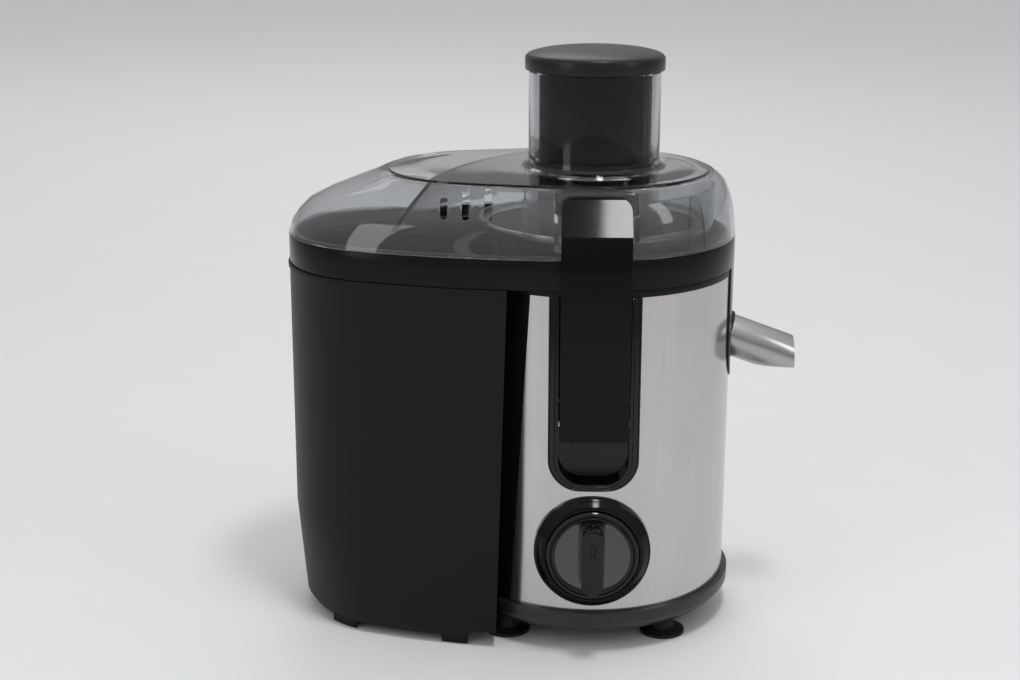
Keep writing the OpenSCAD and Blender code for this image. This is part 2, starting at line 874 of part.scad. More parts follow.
module collector_bowl() {
    ring(bowl_in, bowl_r, bowl_z, deck_plate_z);
    ring(chimney_in, bowl_in + 1, bowl_z, bowl_floor);
    ring(chimney_in, chimney_r, bowl_z, chimney_top);
    intersection() {
        ring(bowl_r - 0.5, housing_r + 0.5, bowl_z, band_z + 0.5);
        spout_slot(web_w, 30, far / 4);
    }
    intersection() {
        ring(housing_r + 0.3, apron_r, bowl_z - 14, band_z + 1);
        spout_slot(apron_w, 30, far / 4);
    }
}

module juice_collector() {
    color("#151516") placed() difference() {
        union() {
            collector_band();
            collector_bowl();
        }
        spout_bar(spout_r + press, -30, 8);
        spout_bar(seal_out + press, -5.25, -3.05);
    }
}

module spout() {
    color("#c3c3c4") placed() difference() {
        spout_bar(spout_r, -14, 60);
        spout_bar(spout_r - spout_t, -20, 80);
        block([spout_x, -far, 0], [far, far, far]);
        block([spout_root_x + 8, -far, 0], [far, far, spout_root_z - 15.6]);
        disc(bowl_in - 0.8, 0, far);
    }
}

module spout_seal() {
    color("#3a3a3a") placed() difference() {
        spout_bar(seal_out, -5.2, -3.1);
        spout_bar(spout_r + press, -20, 20);
    }
}

// ---- basket ----

module basket_frame() {
    color("#1e1e20") placed() {
        difference() {
            union() {
                disc(floor_r + 1, basket_z, basket_z + 3);
                mesh_seat();
                disc(socket_out, coupling_top - 12, basket_z + 6);
                ring(chimney_r + 2.1, chimney_r + 4.1, coupling_top - 14, basket_z + 1);
            }
            disc(socket_r, 0, coupling_top + gap);
            grater_screw_places() disc(grater_screw_r, basket_z + 0.5, disc_z + 0.5);
        }
        drive_cross(cross_w - 2 * gap, coupling_r - gap, coupling_top - cross_d + gap,
            coupling_top + gap + eps);
        for (i = [0:5]) rotate(i * 60 + 30) rotate([90, 0, 0]) translate([0, 0, -1])
            linear_extrude(2) basket_rib();
    }
}

// Outer radius of the mesh at a height, with a push fit outside it
function mesh_out(z) =
    floor_r + mesh_t + press + basket_flare * (z - basket_z - 3) / (mesh_h - 3);

module mesh_seat() {
    top = basket_z + 8;
    out = mesh_out(top) + 1.6;
    rotate_extrude() polygon([[floor_r - 2, basket_z], [out, basket_z], [out, top],
        [mesh_out(top), top], [mesh_out(basket_z + 3), basket_z + 3], [floor_r - 2, basket_z + 3]]);
}

module basket_rib() {
    low = basket_z + 4;
    polygon([[mesh_out(low), low], [mesh_out(low) + rib_t, low],
        [mesh_out(rim_low) + rib_t, rim_low], [mesh_out(rim_low), rim_low]]);
}

module grater_screw_places() {
    for (a = [0:120:240]) rotate(a) translate([grater_reach, 0, 0]) children();
}

module filter_mesh() {
    color("#bfc1c3") placed() rotate_extrude()
        polygon([[floor_r, basket_z + 3], [floor_r + mesh_t, basket_z + 3],
            [basket_r + mesh_t, rim_low], [basket_r, rim_low]]);
}

module basket_rim() {
    color("#c9cbcc") placed() rotate_extrude()
        polygon([[basket_r - 1, rim_low], [basket_r + 3.5, rim_low], [rim_r, rim_low + 1.2],
            [rim_r, rim_top], [rim_r - 1.2, rim_top], [rim_r - 1.2, rim_low + 2],
            [basket_r - 1, rim_low + 2]]);
}

// Six spiral arms of six teeth each stand on the disc
module grater_disc() {
    color("#cfd1d2") placed() {
        difference() {
            disc(disc_r, disc_z, disc_z + disc_t);
            grater_screw_places() disc(grater_screw_r, disc_z - 1, disc_z + disc_t + 1);
        }
        for (arm = [0:5]) for (k = [0:5]) rotate(arm * 60 + k * 9)
            translate([10 + k * 5.4, 0, disc_z + disc_t - eps]) tooth();
    }
}

module tooth() {
    rotate([90, 0, 0]) translate([0, 0, -1]) linear_extrude(2) polygon([[-1, 0], [1, 0], [0.8, 1.4]]);
}

module grater_screws() {
    color("#9a9da1") placed() grater_screw_places() {
        disc(grater_screw_r - eps, basket_z + 0.5, disc_z + disc_t + 1);
        disc(2.4, disc_z + disc_t, disc_z + disc_t + 1);
    }
}

// ---- lid, pusher and pulp bin ----

// Each step: share of the lid's height, side pulled in, tip radius lost, tip pulled in
lid_steps = [[0, 0, 0, 0], [0.2, 0.6, 1.2, 1.2], [0.5, 2.2, 3.3, 8.6], [0.8, 6, 9.2, 27.4],
    [0.93, 10.5, 9.3, 38.6], [1, 15, 9.3, 44.7]];

module lid_solid(inset) {
    low = rim_z + gap;
    hull() for (s = lid_steps)
        translate([0, 0, s[0] == 0 ? low - inset : low + s[0] * (lid_h - inset)])
            linear_extrude(0.05) polygon(outline(band_r - s[1] - inset, tip_r - s[2] - inset,
                tip_x - s[3], flank_r - inset));
}

// The channel in the lid's shoulder for a latch arm, enlarged by one wall for the inside
module latch_channel(extra) {
    half = latch_w / 2 + 1.2 + extra;
    off = -extra * ledge_n;
    low = ledge_low + off;
    high = ledge_high + off;
    rotate([90, 0, 90]) translate([0, 0, -half]) linear_extrude(2 * half) mirror([1, 0])
        polygon([[low[0], rim_z - 5], low, high, [high[0], far], [far / 4, far],
            [far / 4, rim_z - 5]]);
}

module lid() {
    color("#d5dadd", 0.4) placed() difference() {
        union() {
            difference() {
                lid_solid(0);
                difference() {
                    lid_solid(lid_t);
                    both_sides() latch_channel(lid_t);
                }
            }
            basket_hood();
            pulp_deflector();
            chute();
            lid_lip();
        }
        both_sides() latch_channel(0);
        disc(chute_r, 0, far);
    }
}

module lid_lip() {
    difference() {
        union() {
            slab(deck_plate_z + 2, rim_z + gap + 1, wall + 0.4);
            slab(rim_z + gap, rim_z + gap + 1.4, 1);
        }
        slab(deck_plate_z, rim_z + gap + 2, wall + 2.2);
    }
}

module basket_hood() {
    difference() {
        ring(rim_r + 2, rim_r + 3.5, deck_plate_z + 1, plateau_z - 8);
        block([-far / 4, -52, 0], [-20, 52, far]);
    }
}

// A leaning curved wall across the lid that turns the flying pulp down into the bin
module pulp_deflector() {
    low = plateau_z - deflector_h;
    lean = deflector_lean / deflector_h;
    intersection() {
        lid_solid(lid_t / 2);
        multmatrix([[1, 0, lean[0], -lean[0] * low], [0, 1, lean[1], -lean[1] * low], [0, 0, 1, 0]])
            translate(deflector_c) ring(deflector_r, deflector_r + lid_t, low, plateau_z);
    }
}

module chute() {
    out = chute_r + chute_t;
    disc(out, disc_z + 7, chute_z);
    translate([0, 0, plateau_z]) rotate_extrude()
        polygon([[chute_r + 1, -2], [out + 3.5, -2], [out + 3.5, 0.8], [out + 1.2, 2.4],
            [out, 5.5], [chute_r + 1, 5.5]]);
}

module pusher_body() {
    color("#0b0b0c") placed() difference() {
        union() {
            disc(pusher_r, pusher_low, cap_z);
            for (a = [90, 210, 330]) rotate(a)
                block([pusher_r - 1, -1, pusher_low], [chute_r - gap, 1, cap_z]);
        }
        disc(pusher_r - 2, pusher_low + 2, cap_z + 1);
        for (a = [30:60:330]) rotate(a) translate([pusher_r + 0.6, 0, 0])
            disc(1.4, pusher_low + 4, cap_z - 4);
    }
}

module pusher_cap() {
    out = cap_r - 0.8;
    side_z = cap_z + cap_side;
    dome = [for (i = [1:8]) [out * cos(i * 90 / 8), side_z + cap_dome * sin(i * 90 / 8)]];
    color("#1c1c1e") placed() rotate_extrude() polygon(concat([[0, cap_z], [cap_r - 1, cap_z],
        [cap_r, cap_z + 1], [cap_r, side_z - 1.5], [out, side_z]], dome));
}

module bin_plan(inset, pull) {
    polygon(outline(band_r - inset, tip_r - inset, tip_x - pull, flank_r - inset));
}

// Each step below the straight upper part: height, wall pulled in, tip pulled in
bin_steps = [[60, 0, 0], [47, 0.5, 2.4], [9, 1, 3.4], [4.5, 3, 4.4], [bin_low, 5.5, 5]];

module bin_solid(inset) {
    floor_z = inset > 0 ? bin_base + inset : bin_low;
    top_z = inset > 0 ? bin_top + 1 : bin_top;
    translate([0, 0, bin_steps[0][0]]) linear_extrude(top_z - bin_steps[0][0]) bin_plan(inset, 0);
    hull() for (s = bin_steps) translate([0, 0, max(s[0], floor_z)])
        linear_extrude(0.05) bin_plan(inset + s[1], s[2]);
}

// Everything to the right of the bin's slanting front edge
module bin_cut(inset) {
    top_x = -bin_edge - inset;
    low_x = top_x - bin_slope * bin_top;
    translate([0, far / 2, 0]) rotate([90, 0, 0]) linear_extrude(far)
        polygon([[top_x, bin_top + 1], [far, bin_top + 1], [far, -1], [low_x, -1]]);
}

// The feet stand under the skirt, near the tip and beside the housing, on both sides
module bin_feet() {
    near = [-bin_edge - 35, -bin_edge - 21];
    away = [-tip_x - 38, -tip_x - 24];
    for (span = [near, away]) difference() {
        linear_extrude(bin_base + 1) intersection() {
            bin_plan(3.5, 4);
            translate([span[0], -far / 2]) square([span[1] - span[0], far]);
        }
        translate([0, 0, -1]) linear_extrude(bin_base + 3) bin_plan(14, 4);
    }
}

// The hollow under the bin's floor, inside its skirt
module bin_underside() {
    translate([0, 0, -1]) linear_extrude(bin_base + 1) difference() {
        bin_plan(7.5, 4);
        square([2 * (bin_edge + 28), far], center = true);
    }
    block([-bin_edge - 21, -far / 2, -1], [far, far / 2, bin_base]);
}

module pulp_bin() {
    color("#222224") placed() difference() {
        union() {
            difference() {
                bin_solid(0);
                bin_underside();
            }
            bin_feet();
            slab(bin_top - 2.6, bin_top, -bin_lip);
        }
        difference() {
            bin_solid(bin_t);
            disc(bin_r + bin_t, 0, far);
            bin_cut(bin_t);
        }
        disc(bin_r, -1, far);
        bin_cut(0);
    }
}

motor_housing();
steel_wrap();
base_cover();
cover_screws();
foot_front_left();
foot_front_right();
foot_back_left();
foot_back_right();
recess_front();
recess_back();
latch_pin_front();
latch_pin_back();
latch_front();
latch_back();
interlock_switch();
interlock_plunger();
knob_bezel();
rotary_switch();
switch_nut();
switch_shaft();
knob();
cord_gland();
stator();
field_coils();
upper_bracket();
lower_bracket();
upper_bearing();
lower_bearing();
stator_bolts();
motor_mounts();
motor_screws();
brush_holder_left();
brush_holder_right();
carbon_brush_left();
carbon_brush_right();
shaft_seal();
motor_shaft();
armature();
commutator();
cooling_fan();
drive_coupling();
juice_collector();
spout();
spout_seal();
basket_frame();
filter_mesh();
basket_rim();
grater_disc();
grater_screws();
lid();
pusher_body();
pusher_cap();
pulp_bin();
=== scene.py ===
"""Looks of a countertop juice extractor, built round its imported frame.

The machine stands on four rubber feet with its knob towards -Y, its spout towards +X and its
pulp bin towards -X. Each class below holds the sizes of one sub-assembly and dresses its pieces.
All lengths are metres, unless a description says mm.
"""

from __future__ import annotations

import json
import logging
import math
from collections.abc import Iterable, Iterator, Sequence
from contextlib import contextmanager
from dataclasses import dataclass, field, replace
from enum import Enum
from functools import lru_cache

import bmesh
import bpy
from mathutils import Matrix, Vector

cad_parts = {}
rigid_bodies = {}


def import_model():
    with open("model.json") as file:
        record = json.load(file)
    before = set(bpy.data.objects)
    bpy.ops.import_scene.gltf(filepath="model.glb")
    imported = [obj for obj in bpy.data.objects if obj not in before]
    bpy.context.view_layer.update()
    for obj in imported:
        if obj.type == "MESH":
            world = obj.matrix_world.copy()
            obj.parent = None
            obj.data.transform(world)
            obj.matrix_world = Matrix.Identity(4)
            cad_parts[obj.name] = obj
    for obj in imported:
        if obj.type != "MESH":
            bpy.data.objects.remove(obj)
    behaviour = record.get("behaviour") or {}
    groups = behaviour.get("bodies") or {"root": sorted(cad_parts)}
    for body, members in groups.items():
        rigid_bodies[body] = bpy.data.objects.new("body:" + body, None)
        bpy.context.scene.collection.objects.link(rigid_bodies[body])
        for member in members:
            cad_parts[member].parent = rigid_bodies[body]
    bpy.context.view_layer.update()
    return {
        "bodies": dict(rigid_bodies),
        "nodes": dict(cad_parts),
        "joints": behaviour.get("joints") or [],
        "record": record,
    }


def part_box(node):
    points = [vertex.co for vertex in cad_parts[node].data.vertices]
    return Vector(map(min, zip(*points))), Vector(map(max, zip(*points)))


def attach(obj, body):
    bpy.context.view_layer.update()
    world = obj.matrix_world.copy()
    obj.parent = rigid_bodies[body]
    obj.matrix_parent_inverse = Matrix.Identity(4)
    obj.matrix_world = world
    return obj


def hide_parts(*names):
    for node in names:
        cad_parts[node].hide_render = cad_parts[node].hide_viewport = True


log = logging.getLogger("juice_extractor")

MM = 0.001
Point = tuple[float, float, float]
Colour = tuple[float, float, float]

# Radius at which a turned profile counts as reaching its axis
AXIS_R = 0.01 * MM
# Corners of a CAD mesh nearer than this are joined, and faces flatter than this are merged
CAD_WELD = 0.000002
CAD_FLAT = math.radians(0.4)
# Features per metre along brushed lines, as a share of those across them
LINE_STRETCH = 0.012
# Columns of holes round the basket for each row, and how high on the wave a hole begins
HOLE_COLUMNS = 0.052
HOLE_LIMIT = 0.35
# Broad patches of tone: features per metre, and their share of the tone
CLOUD_SCALE = 22.0
CLOUD_SHARE = 0.3
COAT_ROUGHNESS = 0.04
# Steps round a piece of the dial, and round the drum that cuts its bezel
DIAL_STEPS = 160
DRUM_STEPS = 256
SENSOR_MM = 36.0


# ---- finishes ----


class Pattern(Enum):
    """How a finish varies over its surface."""

    GRAIN = "fine spark-eroded grain"
    SMOOTH = "polished, with faint waviness"
    BRUSHED = "fine lines along one axis"
    WINDING = "wound wire"
    SHEETS = "stacked sheets"
    HOLES = "rows of small holes"


@dataclass(frozen=True)
class Finish:
    """A surface finish and the procedural material that shows it.

    Attributes:
        name: The material's name.
        colour: Linear base colour.
        roughness: Mean roughness.
        pattern: How the surface varies.
        metallic: 1 for bare metal.
        scale: Pattern features per metre.
        relief: Height of the pattern.
        tone: Share by which the colour varies.
        spread: How much the roughness varies to each side.
        lines: Axis along which brushed lines run.
        coat: Strength of a clear gloss coat.
        clear: Share of light that passes through.
        ior: Index of refraction.
        anisotropy: Stretch of highlights across the lines.
        edge: Radius that softens edges in the shading.
        specular: Strength of the plain gloss.
    """

    name: str
    colour: Colour
    roughness: float
    pattern: Pattern = Pattern.GRAIN
    metallic: float = 0.0
    scale: float = 1200.0
    relief: float = 0.00002
    tone: float = 0.15
    spread: float = 0.05
    lines: str = "z"
    coat: float = 0.0
    clear: float = 0.0
    ior: float = 1.5
    anisotropy: float = 0.0
    edge: float = 0.0
    specular: float = 0.5

    @lru_cache(maxsize=None)
    def material(self) -> bpy.types.Material:
        """Builds the material once and returns it.

        Returns:
            The node-based material.
        """
        material = bpy.data.materials.new(self.name)
        material.use_nodes = True
        tree = material.node_tree
        shader = tree.nodes["Principled BSDF"]
        plain = {"Metallic": self.metallic, "IOR": self.ior, "Coat Weight": self.coat,
                 "Coat Roughness": COAT_ROUGHNESS, "Transmission Weight": self.clear,
                 "Anisotropic": self.anisotropy, "Specular IOR Level": self.specular}
        for socket, value in plain.items():
            shader.inputs[socket].default_value = value
        factor = self._factor(tree)
        self._tint(tree, shader, factor)
        self._roughen(tree, shader, factor)
        self._emboss(tree, shader, factor)
        return material

    def _node(self, tree: bpy.types.NodeTree, kind: str, **values: object) -> bpy.types.Node:
        """Adds one shader node.

        Args:
            tree: The material's node tree.
            kind: The node's type name after "ShaderNode".
            **values: Sockets to link to its inputs, or values of its inputs and attributes.

        Returns:
            The new node.
        """
        node = tree.nodes.new("ShaderNode" + kind)
        for key, value in values.items():
            if isinstance(value, bpy.types.NodeSocket):
                tree.links.new(value, node.inputs[key])
            elif key in node.inputs:
                node.inputs[key].default_value = value
            else:
                setattr(node, key, value)
        return node

    def _factor(self, tree: bpy.types.NodeTree) -> bpy.types.NodeSocket:
        """Builds the pattern.

        Args:
            tree: The material's node tree.

        Returns:
            A socket from 0 to 1 that carries the pattern.
        """
        place = self._node(tree, "TexCoord").outputs["Object"]
        if self.pattern is Pattern.HOLES:
            return self._holes(tree, place)
        if self.pattern in (Pattern.WINDING, Pattern.SHEETS):
            along = "Z" if self.pattern is Pattern.SHEETS else "DIAGONAL"
            wave = self._node(tree, "TexWave", Vector=place, Scale=self.scale, Distortion=0.4,
                              bands_direction=along)
            return wave.outputs["Fac"]
        stretch = [self.scale] * 3
        if self.pattern is Pattern.BRUSHED:
            stretch["xyz".index(self.lines)] *= LINE_STRETCH
        place = self._node(tree, "Mapping", Vector=place, Scale=stretch).outputs["Vector"]
        noise = self._node(tree, "TexNoise", Vector=place, Scale=1.0, Detail=4.0, Roughness=0.6)
        return noise.outputs["Fac"]

    def _holes(self, tree: bpy.types.NodeTree, place: bpy.types.NodeSocket) -> bpy.types.NodeSocket:
        """Lays out rows of round dots by height and by angle round the machine's axis.

        Args:
            tree: The material's node tree.
            place: The socket with the place on the surface.

        Returns:
            A socket that is 1 in a dot and 0 elsewhere.
        """
        split = self._node(tree, "SeparateXYZ", Vector=place)
        x = self._math(tree, "SUBTRACT", split.outputs["X"], Machine.axis_x)
        y = self._math(tree, "SUBTRACT", split.outputs["Y"], Machine.axis_y)
        turn = self._math(tree, "ARCTAN2", y, x)
        rows = self._math(tree, "SINE", self._math(tree, "MULTIPLY", split.outputs["Z"], self.scale))
        wave = self._math(tree, "MULTIPLY", turn, self.scale * HOLE_COLUMNS)
        columns = self._math(tree, "SINE", wave)
        dots = self._math(tree, "MULTIPLY", rows, columns)
        return self._math(tree, "GREATER_THAN", dots, HOLE_LIMIT)

    def _math(self, tree: bpy.types.NodeTree, operation: str, first: object,
              second: object = None) -> bpy.types.NodeSocket:
        """Adds a Math node.

        Args:
            tree: The material's node tree.
            operation: The node's operation.
            first: A socket or a number.
            second: Another, or nothing.

        Returns:
            The node's output.
        """
        node = self._node(tree, "Math", operation=operation)
        for index, value in enumerate((first, second)):
            if isinstance(value, bpy.types.NodeSocket):
                tree.links.new(value, node.inputs[index])
            elif value is not None:
                node.inputs[index].default_value = value
        return node.outputs[0]

    def _tint(self, tree: bpy.types.NodeTree, shader: bpy.types.Node,
              factor: bpy.types.NodeSocket) -> None:
        """Varies the base colour a little, over the pattern and over a broad cloud.

        Args:
            tree: The material's node tree.
            shader: The material's shader.
            factor: The socket that carries the pattern.
        """
        place = self._node(tree, "TexCoord").outputs["Object"]
        cloud = self._node(tree, "TexNoise", Vector=place, Scale=CLOUD_SCALE, Detail=3.0)
        fine = self._math(tree, "MULTIPLY", factor, 1 - CLOUD_SHARE)
        broad = self._math(tree, "MULTIPLY", cloud.outputs["Fac"], CLOUD_SHARE)
        ramp = self._node(tree, "ValToRGB", Fac=self._math(tree, "ADD", fine, broad))
        for stop, share in zip(ramp.color_ramp.elements, (1 - self.tone, 1 + self.tone)):
            stop.color = (*(min(1.0, c * share) for c in self.colour), 1.0)
        tree.links.new(ramp.outputs["Color"], shader.inputs["Base Color"])

    def _roughen(self, tree: bpy.types.NodeTree, shader: bpy.types.Node,
                 factor: bpy.types.NodeSocket) -> None:
        """Varies the roughness between its two ends.

        Args:
            tree: The material's node tree.
            shader: The material's shader.
            factor: The socket that carries the pattern.
        """
        low, high = max(0.0, self.roughness - self.spread), self.roughness + self.spread
        spread = self._node(tree, "MapRange", Value=factor, **{"To Min": low, "To Max": high})
        tree.links.new(spread.outputs["Result"], shader.inputs["Roughness"])

    def _emboss(self, tree: bpy.types.NodeTree, shader: bpy.types.Node,
                factor: bpy.types.NodeSocket) -> None:
        """Adds the pattern's relief and softens the edges.

        Args:
            tree: The material's node tree.
            shader: The material's shader.
            factor: The socket that carries the pattern.
        """
        bump = self._node(tree, "Bump", Height=factor, Strength=0.6, Distance=self.relief)
        if self.edge > 0:
            rounding = self._node(tree, "Bevel", Radius=self.edge, samples=4)
            tree.links.new(rounding.outputs["Normal"], bump.inputs["Normal"])
        tree.links.new(bump.outputs["Normal"], shader.inputs["Normal"])


class Finishes:
    """Every finish of the machine."""

    HOUSING = Finish("satin_black_housing", (0.006, 0.006, 0.0063), 0.32, edge=0.0004, specular=0.16)
    STEEL = Finish("brushed_steel_wrap", (0.55, 0.525, 0.515), 0.17, Pattern.BRUSHED, 1.0, 1300.0,
                   0.000012, 0.2, 0.08, anisotropy=0.6)
    SPOUT = Finish("brushed_steel_spout", (0.44, 0.425, 0.42), 0.24, Pattern.BRUSHED, 1.0, 1800.0,
                   0.000012, 0.16, 0.08, lines="x")
    COVER = Finish("satin_black_base", (0.012, 0.012, 0.0125), 0.36, edge=0.0005, specular=0.5)
    RUBBER = Finish("black_rubber", (0.010, 0.010, 0.010), 0.62, scale=1600.0, relief=0.00004, specular=0.3)
    SCREW = Finish("plated_screws", (0.55, 0.55, 0.56), 0.28, Pattern.SMOOTH, 1.0, 500.0)
    GLOSS = Finish("piano_black", (0.003, 0.003, 0.0031), 0.06, Pattern.SMOOTH, scale=160.0,
                   relief=0.000006, spread=0.02, specular=0.16)
    RECESS = Finish("gloss_black_recess", (0.004, 0.004, 0.0042), 0.1, Pattern.SMOOTH, scale=200.0,
                    relief=0.000006, spread=0.03, edge=0.0005, specular=0.35)
    KNOB = Finish("gloss_black_knob", (0.004, 0.004, 0.0042), 0.12, Pattern.SMOOTH, scale=220.0,
                  relief=0.000006, spread=0.04, edge=0.0003, specular=0.35)
    BEZEL = replace(KNOB, name="gloss_black_bezel", specular=0.14)
    DISH = Finish("polished_black_dish", (0.006, 0.006, 0.0062), 0.08, Pattern.SMOOTH, scale=180.0,
                  relief=0.000006, spread=0.03, coat=0.8, specular=0.8)
    COLLECTOR = Finish("semi_gloss_black", (0.006, 0.0062, 0.0065), 0.2, scale=900.0, relief=0.000008,
                       edge=0.0004, specular=0.14)
    BIN = Finish("fine_matte_charcoal", (0.008, 0.008, 0.0084), 0.44, scale=1900.0, relief=0.00003,
                 spread=0.06, edge=0.0006, specular=0.16)
    CAP = Finish("satin_black_cap", (0.009, 0.009, 0.0094), 0.32, scale=1700.0, relief=0.00002, specular=0.3)
    CLEAR = Finish("clear_moulding", (0.93, 0.94, 0.945), 0.02, Pattern.SMOOTH, scale=60.0,
                   relief=0.00002, tone=0.01, spread=0.01, clear=1.0, ior=1.49, edge=0.0004)
    # Painted shade: a darker tint of the clear moulding for the chute, which also reflects less
    PAINTED_SHADE_CHUTE = replace(CLEAR, name="chute_with_painted_shade", colour=(0.62, 0.63, 0.64), ior=1.3, edge=0.0, specular=0.2)
    # Painted shade: a darker tint of the clear moulding for the dome's steep sides and inner walls
    PAINTED_SHADE_SIDES = replace(CLEAR, name="moulding_with_painted_shade", colour=(0.70, 0.71, 0.72), scale=45.0,
                    relief=0.00012, tone=0.02, clear=0.97)
    MESH = Finish("perforated_steel", (0.45, 0.45, 0.45), 0.34, Pattern.HOLES, 1.0, 4200.0, 0.0002, 0.75)
    BRIGHT = Finish("bright_pressed_steel", (0.66, 0.66, 0.66), 0.2, Pattern.SMOOTH, 1.0, 300.0, 0.00001)
    BASKET = Finish("black_basket_plastic", (0.018, 0.018, 0.019), 0.4, edge=0.0004)
    SWITCH = Finish("grey_switch_case", (0.06, 0.063, 0.07), 0.45)
    PLUNGER = Finish("red_plunger", (0.42, 0.05, 0.03), 0.4)
    STACK = Finish("varnished_sheet_stack", (0.16, 0.165, 0.17), 0.4, Pattern.SHEETS, 0.8, 260.0, 0.00006)
    COPPER = Finish("enamelled_copper_wire", (0.48, 0.17, 0.05), 0.3, Pattern.WINDING, 0.9, 190.0, 0.0003)
    WINDING = Finish("varnished_winding", (0.26, 0.10, 0.04), 0.38, Pattern.WINDING, 0.6, 210.0, 0.0003)
    CASTING = Finish("cast_aluminium", (0.52, 0.53, 0.55), 0.42, metallic=1.0, scale=700.0, relief=0.00006)
    GROUND = Finish("ground_steel", (0.60, 0.61, 0.62), 0.2, Pattern.BRUSHED, 1.0, 2000.0, 0.000005)
    BRASS = Finish("pressed_brass", (0.62, 0.42, 0.14), 0.3, Pattern.SMOOTH, 1.0, 400.0, 0.00001)
    CARBON = Finish("pressed_carbon", (0.03, 0.03, 0.03), 0.6, scale=1500.0, relief=0.00005)
    SEGMENTS = Finish("turned_copper", (0.60, 0.27, 0.12), 0.25, Pattern.SHEETS, 1.0, 300.0, 0.00005)
    NYLON = Finish("natural_nylon", (0.62, 0.59, 0.5), 0.45, scale=700.0, relief=0.00003)
    FLOOR = Finish("pale_floor", (0.72, 0.725, 0.73), 0.5, scale=30.0, relief=0.0, tone=0.02, specular=0.2)


# ---- the machine's main sizes ----


@dataclass(frozen=True)
class Outline:
    """The plan of the body: a body circle, a tip circle and two flanks that touch both.

    Attributes:
        body_r: Radius round the motor axis.
        tip_r: Radius of the rounded end over the pulp bin.
        tip_x: Distance from the motor axis to the tip's centre.
        flank_r: Radius of the flanks.
        steps: Number of points on half the body, on one flank and on the tip.
    """

    body_r: float = 76.5 * MM
    tip_r: float = 61 * MM
    tip_x: float = 103 * MM
    flank_r: float = 324 * MM
    steps: tuple[int, int, int] = (48, 26, 56)

    def points(self, inset: float = 0.0, body_loss: float = 0.0, tip_loss: float = 0.0,
               tip_pull: float = 0.0) -> list[Vector]:
        """Points round the outline, always the same number and order.

        Args:
            inset: How far the whole outline moves inwards.
            body_loss: How much smaller the body's radius is.
            tip_loss: How much smaller the tip's radius is.
            tip_pull: How far the tip moves towards the body.

        Returns:
            Flat points round the motor axis, from the spout's side round through the back.
        """
        body_r = self.body_r - inset - body_loss
        tip_r = self.tip_r - inset - tip_loss
        flank_r = self.flank_r - inset
        tip_x = self.tip_x - tip_pull
        flank_x = ((flank_r - tip_r) ** 2 - (flank_r - body_r) ** 2 - tip_x**2) / (2 * tip_x)
        flank_y = math.sqrt((flank_r - body_r) ** 2 - flank_x**2)
        leave = math.atan2(flank_y, -flank_x)
        meet = math.atan2(flank_y, -tip_x - flank_x)
        turn = 2 * math.pi
        body, flank, tip = self.steps
        return (
            self._arc(0, 0, body_r, 0, leave, body)
            + self._arc(flank_x, -flank_y, flank_r, leave, meet, flank)
            + self._arc(-tip_x, 0, tip_r, meet, turn - meet, tip)
            + self._arc(flank_x, flank_y, flank_r, turn - meet, turn - leave, flank)
            + self._arc(0, 0, body_r, turn - leave, turn, body)
        )

    @staticmethod
    def _arc(x: float, y: float, r: float, start: float, end: float, count: int) -> list[Vector]:
        """Points along an arc, without its last one."""
        angles = [start + (end - start) * i / count for i in range(count)]
        return [Vector((x + r * math.cos(a), y + r * math.sin(a), 0)) for a in angles]

    def circle(self, radius: float) -> list[Vector]:
        """A circle round the motor axis, point for point in the directions of the outline."""
        return [p.normalized() * radius for p in self.points()]


class Machine:
    """Heights and places that the sub-assemblies share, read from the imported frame.

    Attributes:
        axis_x: Place of the motor axis along X.
        axis_y: Its place along Y.
        rim_z: Height of the collector's rim.
        chute_z: Height of the chute's rim.
        nodes: The CAD nodes by name.
        body_of: The body of each node.
        slot_of: The material slot of each node.
    """

    axis_x = 0.0
    axis_y = 0.0
    rim_z = 0.0
    chute_z = 0.0
    nodes: dict[str, bpy.types.Object] = {}
    body_of: dict[str, str] = {}
    slot_of: dict[str, str] = {}

    @classmethod
    def read(cls, frame: dict) -> None:
        """Reads the frame.
        """
        low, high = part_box("motor_shaft")
        cls.axis_x = (low.x + high.x) / 2
        cls.axis_y = (low.y + high.y) / 2
        cls.rim_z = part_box("juice_collector")[1].z
        cls.chute_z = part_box("lid")[1].z
        cls.nodes = frame["nodes"]
        bodies = frame["record"]["behaviour"]["bodies"]
        cls.body_of = {node: body for body, members in bodies.items() for node in members}
        cls.slot_of = {part["node"]: part["material_slot"] for part in frame["record"]["subparts"]}

    @classmethod
    def place(cls, point: Sequence[float]) -> Point:
        """Moves a point from the motor axis into the frame."""
        return (point[0] + cls.axis_x, point[1] + cls.axis_y, point[2])


# ---- meshes ----


def link(name: str, data: bpy.types.ID) -> bpy.types.Object:
    """Adds an object to the scene.

    Args:
        name: The object's name.
        data: Its mesh, lamp or camera.

    Returns:
        The new object.
    """
    added = bpy.data.objects.new(name, data)
    bpy.context.scene.collection.objects.link(added)
    return added


@contextmanager
def editing(mesh: bpy.types.Mesh) -> Iterator[bmesh.types.BMesh]:
    """Opens a mesh for editing and writes it back afterwards.

    Args:
        mesh: The mesh.

    Yields:
        The editable mesh.
    """
    shape = bmesh.new()
    shape.from_mesh(mesh)
    yield shape
    shape.to_mesh(mesh)
    shape.free()


def add_piece(name: str, points: Iterable[Sequence[float]], faces: Iterable[Sequence[int]],
              finish: Finish) -> bpy.types.Object:
    """Makes one smooth-shaded mesh piece.

    Args:
        name: The piece's name.
        points: Corners, round the motor axis.
        faces: Corner numbers of each face.
        finish: The piece's finish.

    Returns:
        The new object.
    """
    mesh = bpy.data.meshes.new(name)
    mesh.from_pydata([Machine.place(p) for p in points], [], list(faces))
    mesh.validate()
    piece = link(name, mesh)
    mend(piece)
    piece.data.materials.append(finish.material())
    shade(piece)
    return piece


